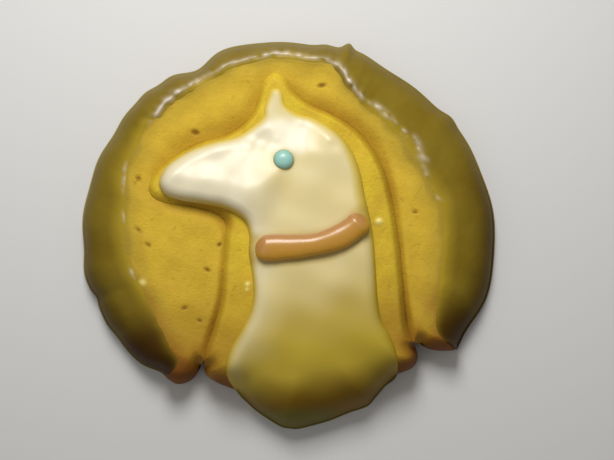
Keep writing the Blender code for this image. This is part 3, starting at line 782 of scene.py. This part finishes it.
# %% The lip of the glaze
# Each entry starts with an angle. The ridge then has a radius and a strength, and a blob has a
# distance from the lip, a height, a length and a width.
LIP_STRENGTH = (
    (-34, 0), (50, 0), (58, 0.2), (63, 0.8), (68, 1), (84, 0.8), (90, 0.6), (96, 0.8), (120, 0.75),
    (128, 1), (138, 1), (142, 0.5), (147, 0.1), (152, 0), (230, 0),
)
LIP_RIDGE = (
    (60, 29.9, 0), (64, 30.3, 0.45), (66.4, 31, 1), (68.9, 31.9, 1.1), (71.6, 33.3, 1.1),
    (74.1, 34.1, 0.9), (76.9, 34.4, 0.55), (80.1, 34.4, 0.45), (83.3, 34.3, 0.5), (86.5, 34.5, 0.8),
    (88.6, 34.6, 0.25), (90.5, 34.8, 0.75), (93.4, 35, 0.6), (96.6, 34.9, 0.6), (99.2, 34.7, 0.4),
    (104.3, 34.8, 0.4), (110.2, 34.8, 0.5), (113.3, 34.4, 0.25), (117.5, 34.4, 0.4), (122.5, 34.6, 0.4),
    (126.1, 34.7, 0.55), (128.9, 34.9, 0.95), (132.4, 34.8, 1.1), (136, 34.5, 1), (139, 34.3, 0.5),
    (143, 34.2, 0),
)
RIDGE_HALF_WIDTH = 0.4
RIDGE_RELIEF = 0.12
BLOB_RELIEF = 0.5
LIP_HEIGHT = 0.9
THIN_HEIGHT = 0.06
MM_PER_DEGREE = 0.6
# Radii at which angles are unrolled into lengths for the noise.
RIDGE_RADIUS = 35.0
LIP_WAVER_RADIUS = 40.0
LIP_BLOBS = (
    (62.5, 1.1, 0.35, 0.8, 0.45), (58.5, 1.5, 0.3, 0.7, 0.4), (55, 2, 0.45, 1.2, 0.6),
    (50.8, 1.8, 0.55, 1.3, 0.55), (46.5, 1.9, 0.25, 0.6, 0.3), (42, 2.1, 0.4, 0.7, 0.35),
    (36.2, 2.9, 0.5, 1.1, 0.5), (33.5, 2.2, 0.3, 0.7, 0.4), (30.3, 1.9, 0.45, 1.5, 0.8),
    (26.5, 1.3, 0.3, 1, 0.5), (23.6, 0.9, 0.4, 0.7, 0.4), (14, 0.6, 0.3, 0.8, 0.4),
    (157.5, 0.9, 0.3, 1, 0.4), (162, 0.5, 0.55, 1.5, 0.5), (173.5, 0.4, 0.45, 0.9, 0.45),
    (193.6, 0.5, 0.45, 0.9, 0.45),
)


def lip_strength(angle):
    """How proud the lip stands at an angle, from 0 to 1."""
    return eased(angle, LIP_STRENGTH)


def ridge_gleam(angle, radius):
    """How white and gleaming the lip's ridge is painted, partly as whiter sugar and partly as a painted
    highlight: a soft band on a line of listed angles and radii, each with a strength, broken up a little
    along its length."""
    ridge = np.array(LIP_RIDGE)
    aside = (radius - eased(angle, ridge[:, :2])) / RIDGE_HALF_WIDTH
    broken = 1.0 + 0.4 * unevenness(RIDGE_RADIUS * np.radians(angle), radius, 1.8, 36)
    shown = eased(angle, ridge[:, ::2]) * (angle > ridge[0, 0]) * (angle < ridge[-1, 0])
    return broken * shown * (bell(aside) + 0.25 * bell(aside / 2.4))


def lip_width(angle):
    """Width of the glaze, with an inner edge that wavers and, at the top, scallops a little."""
    along = LIP_WAVER_RADIUS * np.radians(angle)
    wavering = ripples(along, 0.0 * along, ((0.05, 5.0, 31), (0.07 * lip_strength(angle), 2.0, 32)))
    return glaze_width(angle) + wavering * ramp(from_tail_end(angle), 0.0, 6.0)


def lip_radius(angle):
    """The rim's radius, less the width of the glaze."""
    return rim_radius(angle) - lip_width(angle)


def lip_blobs(angle, from_lip):
    """Small lumps of glaze near the lip, each a bell along the lip and across it."""
    return sum(
        height * bell((angle - at) * MM_PER_DEGREE / length, (from_lip - inward) / wide)
        for at, inward, height, length, wide in LIP_BLOBS
    )


# %% Glaze
def glaze_place(x, y):
    """Angle, distance inward from the foot's edge, and distance outward from the lip."""
    angle = angle_of(x, y)
    inward = rim_radius(angle) - np.hypot(x, y)
    return angle, inward, np.maximum(lip_width(angle) - inward, 0.0)


def glaze_top(x, y):
    """A thin foot on the plate, a quarter round up the rim, and the lip on the dough. The glaze
    comes down with the dough at the tail's two ends."""
    angle, inward, from_lip = glaze_place(x, y)
    strength = lip_strength(angle)
    crown = TAIL_TOP + lumps(x, y) + THIN_HEIGHT + (LIP_HEIGHT - THIN_HEIGHT) * strength
    foot = FOOT_THICKNESS * rounded(inward, 0.5)
    rim = foot + (crown - foot) * rounded(inward - FOOT_WIDTH, lip_width(angle) - FOOT_WIDTH + 0.3)
    rim = np.minimum(rim, END_WALL + (crown - END_WALL) * rounded(to_tail_end(x, y) + 0.6, END_ROUNDING))
    low = np.where(inward > skirt_width(angle), tail_height(x, y) - SUNK, 0.0)
    rise = 0.35 * rounded(from_lip, LIP_ROUNDING) + 0.65 * ramp(from_lip, -0.2, LIP_ROUNDING)
    lipped = low + (np.maximum(rim, low + SUNK + 0.1) - low) * rise
    flow = ripples(x, y, ((0.05, 6.0, 33), (0.03 * (0.3 + strength), 2.2, 34)))
    flow = flow + BLOB_RELIEF * lip_blobs(angle, from_lip)
    flow = flow + RIDGE_RELIEF * ridge_gleam(angle, np.hypot(x, y))
    return np.maximum(lipped, 0.05) + flow * ramp(np.minimum(inward, from_lip), 0.0, 1.2)


def glaze_underside(x, y):
    """On the plate beside the dough, and just inside it above."""
    angle, inward, _ = glaze_place(x, y)
    over = inward > skirt_width(angle) + 0.05
    return np.where(over, np.maximum(tail_height(x, y) - 2 * SUNK, 0.0), 0.0)


def glaze_marks(x, y, z):
    """thin: 1 at the foot on the plate. browned: 1 on the outer slope and towards the bird's foot, where
    dark dough shows through and where painted shade darkens the rim. clear: 1 where the glaze thins out on
    the dough. wet is 1 along the lip and on its lumps, and so is the mark that paints them whiter, partly
    as whiter sugar and partly as a painted highlight."""
    angle, inward, from_lip = glaze_place(x, y)
    strength = lip_strength(angle)
    thin = (1.0 - ramp(inward, 0.1, 0.7)) * (1.0 - 0.8 * ramp(x, 10.0, 30.0))
    wander = unevenness(x, y, 12.0, 35)
    # Darker low and on the outer slope, partly from baked dough under the glaze and partly as painted
    # shade.
    low = ramp(-y + 0.04 * x + 1.2 * wander, 7.0, 24.0) * ramp(from_lip, -2.4, 2.6)
    outer = ramp(inward + 0.5 * wander, 6.0, 0.5) * ramp(-y + 0.2 * x, -12.0, 6.0)
    clear = ramp(from_lip + 0.2 * wander, 3.6 - 2.4 * strength, 0.0) * (1.0 - 0.5 * low)
    glint = lip_blobs(angle, from_lip) * (1.05 + 0.35 * unevenness(x, y, 1.9, 37))
    # The ridge and the glints on the lumps are painted lighter, partly as whiter sugar and partly as a
    # painted highlight.
    ridge = 0.66 * ridge_gleam(angle, np.hypot(x, y)) + glint
    return {
        "thin": thin,
        "browned": np.maximum(low, 0.6 * outer),
        "clear": clear,
        "milky_gleam": ridge,
        "wet": ridge,
    }


rails = [polar_line(radius, TAIL_START, TAIL_FINISH, count=620) for radius in (rim_radius, lip_radius)]
forms = (glaze_top, glaze_underside, glaze_marks)
glaze = leaf_piece("tail_glaze_poured", "tail_glaze", rails, *forms, columns=60, low_columns=20)

# %% [markdown]
# ## The icing on the bird
#
# The icing was spread thickly on the head and the neck, where it rounds off at the sides. It ran
# down over the foot and thins out there, so that the dough shows through. On the crown the spoon
# left small swirls, which break up the gleam.

# %% The form of the icing
ICING_ROUNDING = 2.4
CREST_ROUNDING = 1.3
ICING_STATIONS = (
    ((-9.9, -30.4), (18.6, -29.1)), ((-12.1, -24.9), (20.9, -24.9)), ((-6.8, -11.1), (16.9, -11.1)),
    ((-7.6, 0.1), (16, 0.5)), ((-16.4, 6), (14.9, 6)), ((-24.8, 10), (14, 10.2)),
    ((-18.1, 16.6), (12, 16.2)), ((-7.1, 20.7), (6, 22)), ((-4.7, 24.5), (-0.6, 24.9)),
)
SHOULDER_RISE = (
    (-27, 0.6), (-22, 0.8), (-15, 0.95), (-12, 1.1), (-8.5, 1.4), (-6.4, 1.35), (1.5, 0), (14, 0),
)
SHOULDER_SLOPE = 0.28
FOREHEAD_LINE = ((-27.0, 13.9), (-2.5, 13.9), (1.0, 15.2), (3.0, 15.4), (7.0, 18.0), (14.0, 22.0))
GENTLE_LINE = ((-27.0, 12.4), (-20.0, 12.8), (-14.0, 14.4), (-9.0, 17.0), (-4.0, 24.0), (14.0, 24.0))
THINNEST = 0.5
# A hollow has a place, a size and a depth, and a swirl is a line of places.
HOLLOWS = ((-5.2, 18.1, 1.5, 0.34), (5.2, 17.4, 1.7, 0.16))
ROPE_HEIGHT = 0.1
ROPE_HALF_WIDTH = 0.9
SWIRLS = (
    ((-7.4, 17), (-7.2, 19.2), (-5.4, 20.4), (-3.6, 20.2), (-2.8, 18.6)),
    ((2.6, 21.6), (4.6, 21.2), (6.6, 20.2), (8, 18.6)), ((-9.4, 17), (-8.6, 17.8), (-7.9, 17.1)),
)


def softened(rise, width):
    """The rise above 0, and 0 below it, with the corner between them rounded over the width."""
    return 0.5 * (rise + np.sqrt(rise**2 + width**2))


def hollows_and_swirls(x, y):
    """Round hollows and soft ropes left by the spoon, in millimetres."""
    ropes = sum(bell(distance_to(x, y, smooth_line(rope)) / ROPE_HALF_WIDTH) for rope in SWIRLS)
    return ROPE_HEIGHT * ropes - spots(x, y, HOLLOWS)


def icing_thickness(x, y):
    """The icing is raised up to a line that runs along the beak and under the crown. Above the line
    it falls towards the crown at one slope, which is gentler past a second line. Below the line it
    levels out to the thickness that it has on the neck."""
    raised = eased(x, SHOULDER_RISE)
    line = straight(x, FOREHEAD_LINE) - raised / SHOULDER_SLOPE
    above = softened(y - line, 1.0) - 0.6 * softened(y - straight(x, GENTLE_LINE), 1.0)
    below = raised * ramp(line - y, -1.0, 8.0)
    height = ICING_THICKNESS + raised - SHOULDER_SLOPE * above - below
    crown = ramp(y, 13.0, 17.0) * ramp(x, -11.0, -8.5)
    beak = band(-x, 4.0, 9.0, 20.0, 25.0)
    uneven = ripples(x, y, ((0.02, 7.0, 41), (0.04 * beak, 5.0, 44), (0.025 * crown, 4.2, 43)))
    return THINNEST + softened(height - THINNEST, 0.4) + uneven + crown * hollows_and_swirls(x, y)


def dough_below(x, y):
    """Height of what the icing lies on: the bird's dough, and past its foot the plate."""
    at_foot = np.where(y < -18.0, distance_inside(x, y, foot_line), 1.0)
    return bird_height(x, y) * ramp(at_foot, -0.1, 0.15)


# %% Icing
def icing_top(x, y):
    """Rounded at its sides, with a long slope down to a thin foot on the plate."""
    to_side = distance_to(x, y, icing_sides)
    low = dough_below(x, y) - SUNK
    crown = BIRD_TOP + lumps(x, y) + icing_thickness(x, y)
    to_foot = distance_to(x, y, icing_foot)
    film = FOOT_THICKNESS * rounded(to_foot, 0.5)
    slope = rounded(to_foot - FOOT_WIDTH, foot_slope(x) + SKIRT - FOOT_WIDTH)
    full = np.maximum(film + (crown - film) * slope, low + 0.55 * ramp(to_foot, 0.0, 0.8))
    width = ICING_ROUNDING - (ICING_ROUNDING - CREST_ROUNDING) * ramp(y, 20.0, 24.0)
    return np.maximum(low + (full - low) * rounded(to_side, width), 0.04)


def icing_underside(x, y):
    """Sunk a little into what the icing lies on, but not into the plate."""
    return np.maximum(dough_below(x, y) - 2 * SUNK, 0.0)


def icing_marks(x, y, z):
    """edge: 1 at the sides, where yellow dough shines through. thin: 1 where the icing ran thin over the
    foot, which is also painted darker there as shade. browned: 1 low on the foot, where baked dough shows
    through and painted shade darkens it. On the beak and the crown a mark is 1 that paints them whiter,
    partly as thicker icing and partly as a painted highlight. pooled: 1 in the film on the plate. stained:
    1 beside the collar and the eye, whose colour ran into the icing. wet: 1 on the head, where the icing
    is glossiest."""
    to_side, to_foot = distance_to(x, y, icing_sides), distance_to(x, y, icing_foot)
    wander = unevenness(x, y, 9.0, 42)
    soft = 1.3 + 1.5 * ramp(x, 9.0, 13.0) * ramp(y, -1.0, 3.0)
    edge = ramp(to_side, soft, 0.1) * (1.0 - 0.6 * ramp(-x, 14.0, 22.0))
    # Yellower towards the foot, where the icing ran thin, and painted darker there as shade.
    lean = 0.2 * (x - 4.0) + 0.5 * np.minimum(x, 0.0)
    down = ramp(-y + lean + 0.6 + 0.8 * wander, 1.0, 23.0)
    beside_collar = ramp(distance_to(x, y + 0.4, smooth_line(COLLAR_LINE)), 3.9, 1.9)
    beside_eye = ramp(np.hypot(x - EYE_CENTRE[0], y - EYE_CENTRE[1]), 2.7, 1.9)
    streak = band(to_side, 0.8, 2.0, 2.0, 3.4) * band(-y, 8.0, 14.0, 24.0, 28.0) * ramp(x, 8.0, 0.0)
    # Darkest low on the foot, partly from baked dough showing through and partly as painted shade.
    browned = ramp(-y + 0.16 * x + 0.5 * wander, 26.0, 32.5)
    film = ramp(-y + 0.3 * wander, 32.2, 34.2) * ramp(x, 11.0, 7.0)
    # Whiter on the beak and the crown, partly as thicker icing and partly as a painted highlight.
    beak = ramp(-x + 0.4 * wander, 0.0, 10.0)
    crown = ramp(y + 0.3 * wander, 14.5, 17.0) * ramp(y, 23.5, 21.0) * ramp(x, 6.0, 2.5)
    wet = ramp(y + 0.5 * wander, -20.0, 4.0) * ramp(to_side, 0.4, 1.8)
    return {
        "edge": edge,
        "thin": down * (1.0 - 0.15 * streak),
        "stained": np.maximum(beside_collar, 0.7 * beside_eye),
        "browned": browned,
        "milky_gleam": np.maximum(beak, crown),
        "pooled": np.maximum(film, 0.6 * ramp(to_foot, 0.7, 0.1)),
        "wet": wet,
    }


rails = paired_rails(icing_left, icing_right, ICING_STATIONS, rows=460)
forms = (icing_top, icing_underside, icing_marks)
icing = leaf_piece("bird_icing_poured", "bird_icing", rails, *forms, columns=110, low_columns=24)

# %% [markdown]
# ## Eye and collar
#
# The eye is one drop of stiff icing, a profile turned round the vertical. The collar is a rope
# from a round tip, widest where the hand paused at its ends: a flattened round carried along a
# line.

# %% Eye
EYE_HEIGHT = 1.7
EYE_SUNK = 0.1
EYE_LOWEST = -0.45


def eye_piece(rows=40, columns=64):
    """The profile is a superellipse, radius cos(t)^0.8 and height sin(t), a little out of round."""
    lift = np.linspace(EYE_LOWEST, math.pi / 2, rows)[:, None]
    turn = np.linspace(0.0, 2 * math.pi, columns, endpoint=False)
    radius = EYE_RADIUS * np.cos(lift) ** 0.8 * (1.0 + 0.02 * np.cos(2 * turn + 0.7))
    seat = icing_top(*np.array(EYE_CENTRE)[:, None])[0] - EYE_SUNK
    x = EYE_CENTRE[0] + radius * np.cos(turn)
    y = EYE_CENTRE[1] + radius * np.sin(turn)
    z = seat + EYE_HEIGHT * np.sin(lift)
    print("eye seat in mm:", round(float(seat), 2))
    return grid_piece("eye_drop", "eye", (x, y, z), {"edge": 1.0 - ramp(lift, 0.1, 0.9)})


eye = eye_piece()

# %% Collar
COLLAR_HALF_WIDTHS = ((0.0, 2.5), (0.2, 2.5), (0.45, 2.2), (0.75, 2.35), (1.0, 2.4))
COLLAR_HEIGHT = 2.0
COLLAR_LIFT = 0.2
COLLAR_END = 2.2


def powered(value, power):
    """The value's size to a power, with its sign kept."""
    return np.sign(value) * np.abs(value) ** power


def collar_piece(rows=170, columns=56):
    """Across, the section is a superellipse: width cos(t)^0.9 and height sin(t)^0.8, flatter below.
    Along, it closes as a quarter circle at both ends."""
    line = smooth_line(COLLAR_LINE, 0.1)
    length = running_length(line)[-1]
    share = share_across(rows)
    middle = place_at(line, share * length)
    aside = sideways(middle)
    from_end = np.minimum(share, 1.0 - share) * length
    size = rounded(from_end + 0.001, COLLAR_END)[:, None]
    half_width = straight(share, COLLAR_HALF_WIDTHS)
    half_width = half_width + 0.05 * unevenness(share * length, 0.0 * share, 6.0, 51)
    turn = np.linspace(0.0, 2 * math.pi, columns, endpoint=False)
    wide = half_width[:, None] * size * powered(np.cos(turn), 0.9)
    arch = powered(np.sin(turn), 0.8)
    high = COLLAR_HEIGHT * (0.3 + 0.7 * size) * size * arch * np.where(arch < 0.0, 0.3, 1.0)
    x, y = (middle[:, k, None] + aside[:, k, None] * wide for k in (0, 1))
    z = icing_top(*middle.T)[:, None] + COLLAR_LIFT + high
    upper = np.cos(turn)
    ends = ramp(from_end, 3.4, 0.4)[:, None]
    pink = np.maximum(ramp(upper, 0.25, 0.95), 0.8 * ends * ramp(upper, -0.9, 0.2))
    print("collar length in mm:", round(float(length), 1))
    marks = {"edge": pink, "shade": ramp(-upper, 0.0, 0.9)}
    return grid_piece("collar_rope", "collar", (x, y, z), marks)


collar = collar_piece()

# %% [markdown]
# ## Finishes
#
# The colours have three causes: the icing's own colour, the dough that shows through where it is thin, and
# the browning of the dough. Over them lie painted shade and painted highlights. The shade darkens the
# surface towards the bird's foot, in the groove, in the pinholes and beside the glaze's lip. The
# highlights lighten the lip, the beak, the crown and the drops. Each is a mark on the surface, so a
# material only mixes colours by the marks, and adds an uneven tone and a fine relief.

# %% Node helpers
def mark(tree, name):
    """The number stored at each point under this name."""
    node = tree.nodes.new("ShaderNodeAttribute")
    node.attribute_name = name
    return node.outputs["Fac"]


def plug(tree, socket, value):
    """Fills a socket: from another socket, or with a number or three numbers of a colour."""
    if isinstance(value, bpy.types.NodeSocket):
        tree.links.new(value, socket)
    else:
        socket.default_value = (*value, 1.0) if isinstance(value, tuple) else value


def blend_colours(tree, share, first, second):
    """A mix of two colours: the first where the share is 0, the second where it is 1."""
    node = tree.nodes.new("ShaderNodeMix")
    node.data_type = "RGBA"
    ends = [socket for socket in node.inputs if socket.type == "RGBA"]
    for socket, value in zip((node.inputs[0], *ends), (share, first, second)):
        plug(tree, socket, value)
    return next(socket for socket in node.outputs if socket.type == "RGBA")


def figure(tree, operation, first, second):
    """One sum on two numbers, each a socket or a value, with the result kept from 0 to 1."""
    node = tree.nodes.new("ShaderNodeMath")
    node.operation = operation
    node.use_clamp = True
    for socket, value in zip(node.inputs, (first, second)):
        plug(tree, socket, value)
    return node.outputs[0]


def toned(tree, colour, tones):
    """The colour with tones laid over it in turn, each with its mark's name, strength and colour."""
    for name, strength, tone in tones:
        colour = blend_colours(tree, figure(tree, "MULTIPLY", mark(tree, name), strength), colour, tone)
    return colour


# %% [markdown]
# Every finish on this cookie has mottling: a mask from soft noise of a chosen size, pushed apart or
# kept faint, and the same noise as a height. It is built once, as a node group.

# %% Mottling group
def mottle_group():
    """The mask goes from 0 to 1 as the noise goes from 0.5 less 0.3 times the contrast to 0.5 plus
    as much."""
    group = bpy.data.node_groups.new("mottling", "ShaderNodeTree")
    for name, way in (("Size", "INPUT"), ("Contrast", "INPUT"), ("Mask", "OUTPUT"), ("Height", "OUTPUT")):
        group.interface.new_socket(name, in_out=way, socket_type="NodeSocketFloat")
    kinds = ("NodeGroupInput", "NodeGroupOutput", "ShaderNodeTexCoord", "ShaderNodeTexNoise")
    enter, leave, place, noise = (group.nodes.new(kind) for kind in kinds)
    noise.inputs["Detail"].default_value = 3.0
    noise.inputs["Roughness"].default_value = 0.6
    spread = group.nodes.new("ShaderNodeMapRange")
    half = figure(group, "MULTIPLY", enter.outputs["Contrast"], 0.3)
    for value, socket in (
        (place.outputs["Object"], noise.inputs["Vector"]),
        (enter.outputs["Size"], noise.inputs["Scale"]),
        (noise.outputs["Fac"], spread.inputs["Value"]),
        (figure(group, "SUBTRACT", 0.5, half), spread.inputs["From Min"]),
        (figure(group, "ADD", 0.5, half), spread.inputs["From Max"]),
        (spread.outputs["Result"], leave.inputs["Mask"]),
        (noise.outputs["Fac"], leave.inputs["Height"]),
    ):
        plug(group, socket, value)
    return group


MOTTLING = mottle_group()


def mottling(tree, size, contrast):
    """The group's mask and height in a material, with spots of about 1 / size metres."""
    node = tree.nodes.new("ShaderNodeGroup")
    node.node_tree = MOTTLING
    node.inputs["Size"].default_value = size
    node.inputs["Contrast"].default_value = contrast
    return node.outputs["Mask"], node.outputs["Height"]


def cover(tree, shader, colour, height, depth):
    """The colour on the shader, and a relief of this depth from a height of 0 to 1."""
    bump = tree.nodes.new("ShaderNodeBump")
    bump.inputs["Distance"].default_value = depth * MM
    bump.inputs["Strength"].default_value = 1.0
    plug(tree, shader.inputs["Base Color"], colour)
    plug(tree, bump.inputs["Height"], height)
    plug(tree, shader.inputs["Normal"], bump.outputs["Normal"])


print("mottling group sockets:", [item.name for item in MOTTLING.interface.items_tree])

# %% [markdown]
# Baked dough is matt. Its yellow changes a little from patch to patch, each pore and pinhole is painted
# darker as the shade in it, and where it browned it goes through orange to a dark brown.

# %% Dough finish
TAIL_LIGHT = (0.62, 0.428, 0.034)
BIRD_LIGHT = (0.66, 0.49, 0.03)
DOUGH_DARK = (0.52, 0.325, 0.026)
DOUGH_BAKED_AND_SHADE = (0.4, 0.24, 0.02)
DOUGH_BROWN = (0.15, 0.05, 0.006)
# Each tone has a mark's name, a strength and a colour. Towards the foot the dark tone is partly more
# baking and partly painted shade. Beside the glaze's lip it is partly glaze sugar in the crumb and partly
# a painted shadow. In the groove, beneath the beak and in the pinholes it is painted shade, and the light
# yellow on the drops is a painted glint.
DOUGH_TONES = (
    ("baked", 1.0, DOUGH_BAKED_AND_SHADE),
    ("soaked_and_shaded", 0.9, (0.3, 0.205, 0.022)),
    ("shaded", 0.65, (0.33, 0.16, 0.015)),
    ("browned", 1.4, (0.31, 0.135, 0.012)),
    ("pinhole_shade", 0.95, (0.2, 0.09, 0.01)),
    ("drop_and_glint", 0.9, (0.85, 0.72, 0.22)),
)


def dough_finish(piece, name, light):
    """Two yellows in patches, a darker grain, pore spots where the noise is lowest, painted darker as the
    shade in them, the tones, and a deep brown where the browned mark is past 0.55."""
    tree, shader = new_finish(piece, name, Roughness=0.62, Specular_IOR_Level=0.12)
    patches, _ = mottling(tree, 230.0, 0.9)
    grain, grain_height = mottling(tree, 2200.0, 0.8)
    _, pore_height = mottling(tree, 800.0, 0.5)
    colour = blend_colours(tree, patches, DOUGH_DARK, light)
    colour = blend_colours(tree, figure(tree, "MULTIPLY", grain, 0.18), colour, DOUGH_DARK)
    # Each pore is painted darker, as the shade in it.
    pore_shade = figure(tree, "MULTIPLY", figure(tree, "SUBTRACT", 0.38, pore_height), 6.0)
    colour = toned(tree, blend_colours(tree, pore_shade, colour, DOUGH_BAKED_AND_SHADE), DOUGH_TONES)
    deep = figure(tree, "MULTIPLY", figure(tree, "SUBTRACT", mark(tree, "browned"), 0.55), 2.0)
    cover(tree, shader, blend_colours(tree, deep, colour, DOUGH_BROWN), grain_height, 0.12)


dough_finish(tail, "tail_crumb", TAIL_LIGHT)
dough_finish(bird, "bird_crumb", BIRD_LIGHT)
print("tones of the dough:", [name for name, _, _ in DOUGH_TONES])

# %% [markdown]
# The glaze is half clear, so it takes the tone of what lies under it: khaki on the pale upper rim, dark
# brown where the low rim is well baked and where shade is painted, and a grey film on the plate. Its lip
# and its lumps are painted whiter, partly as whiter sugar and partly as a painted highlight. Only its lip
# and its lumps are glossy, so the clear coat follows the mark for wet places. The icing is made the same
# way, creamy on the head and the neck, and painted whiter on the beak and the crown, partly as thicker
# icing and partly as a painted highlight. Where it is thin, at its edge and over the foot, the yellow
# dough shows through, and at the very foot the baked brown does. Towards the foot both are also painted
# darker as shade.

# %% Glaze and icing finish
GLAZE_BASE = ((0.18, 0.118, 0.009), (0.212, 0.149, 0.015))
# Each tone has a mark's name, a strength and a colour. The glaze's dark brown is partly baked dough under
# it and partly painted shade on the low rim. Its pale white is partly whiter sugar and partly a painted
# highlight on the lip.
GLAZE_TONES = (
    ("clear", 1.0, (0.34, 0.235, 0.018)),
    ("browned", 1.0, (0.05, 0.02, 0.002)),
    ("milky_gleam", 0.85, (0.62, 0.54, 0.42)),
    ("thin", 0.6, (0.26, 0.215, 0.07)),
)
ICING_BASE = ((0.66, 0.54, 0.235), (0.668, 0.559, 0.28))
# Each tone has a mark's name, a strength and a colour. The white is partly thicker icing and partly a
# painted highlight on the beak and the crown. The yellow where the icing is thin and the brown low on the
# foot are partly dough showing through and partly painted shade towards the foot.
ICING_TONES = (
    ("milky_gleam", 0.8, (0.7, 0.635, 0.46)),
    ("edge", 0.9, (0.6, 0.44, 0.045)),
    ("stained", 0.7, (0.47, 0.32, 0.05)),
    ("thin", 0.95, (0.4, 0.285, 0.018)),
    ("browned", 0.95, (0.16, 0.084, 0.003)),
    ("pooled", 0.85, (0.13, 0.112, 0.012)),
)


def poured_finish(piece, name, base, tones, patches, grain, depth, **constants):
    """Two base colours in soft patches, under the tones. patches and grain are each a size and a
    contrast of the mottling, and depth is that of the grain."""
    tree, shader = new_finish(piece, name, **constants)
    colour = blend_colours(tree, mottling(tree, *patches)[0], *base)
    plug(tree, shader.inputs["Coat Weight"], mark(tree, "wet"))
    cover(tree, shader, toned(tree, colour, tones), mottling(tree, *grain)[1], depth)


glaze_shine = {"Roughness": 0.4, "Specular_IOR_Level": 0.05, "Coat_Roughness": 0.25}
icing_shine = {"Roughness": 0.45, "Specular_IOR_Level": 0.12, "Coat_Roughness": 0.4}
poured_finish(glaze, "glaze", GLAZE_BASE, GLAZE_TONES, (120.0, 0.7), (900.0, 0.8), 0.06, **glaze_shine)
poured_finish(icing, "icing", ICING_BASE, ICING_TONES, (90.0, 0.5), (600.0, 0.5), 0.02, **icing_shine)
print("tones of the icing:", [name for name, _, _ in ICING_TONES])

# %% [markdown]
# The eye and the collar are stiffer icing with a colour stirred in. The eye is greener at its edge,
# and the collar is pink along its upper side and at its ends.

# %% Eye and collar finish
EYE_TURQUOISE = (0.28, 0.52, 0.44)
EYE_GREEN = (0.17, 0.36, 0.2)
COLLAR_CARAMEL = (0.46, 0.225, 0.03)
COLLAR_DARK = (0.5, 0.25, 0.01)
COLLAR_PINK = (0.42, 0.2, 0.07)


def piped_finish(piece, name, base, tones, grain_size, **constants):
    """One base colour under the tones, with a fine grain."""
    tree, shader = new_finish(piece, name, **constants)
    cover(tree, shader, toned(tree, base, tones), mottling(tree, grain_size, 0.6)[1], 0.05)


eye_tones = (("edge", 0.8, EYE_GREEN),)
collar_tones = (("shade", 1.0, COLLAR_DARK), ("edge", 1.0, COLLAR_PINK))
eye_shine = {"Roughness": 0.4, "Coat_Weight": 0.3, "Coat_Roughness": 0.25}
collar_shine = {"Roughness": 0.5, "Specular_IOR_Level": 0.2, "Coat_Weight": 0.75, "Coat_Roughness": 0.24}
piped_finish(eye, "eye_icing", EYE_TURQUOISE, eye_tones, 1400.0, **eye_shine)
piped_finish(collar, "collar_icing", COLLAR_CARAMEL, collar_tones, 900.0, **collar_shine)
print("materials:", [material.name for material in bpy.data.materials])
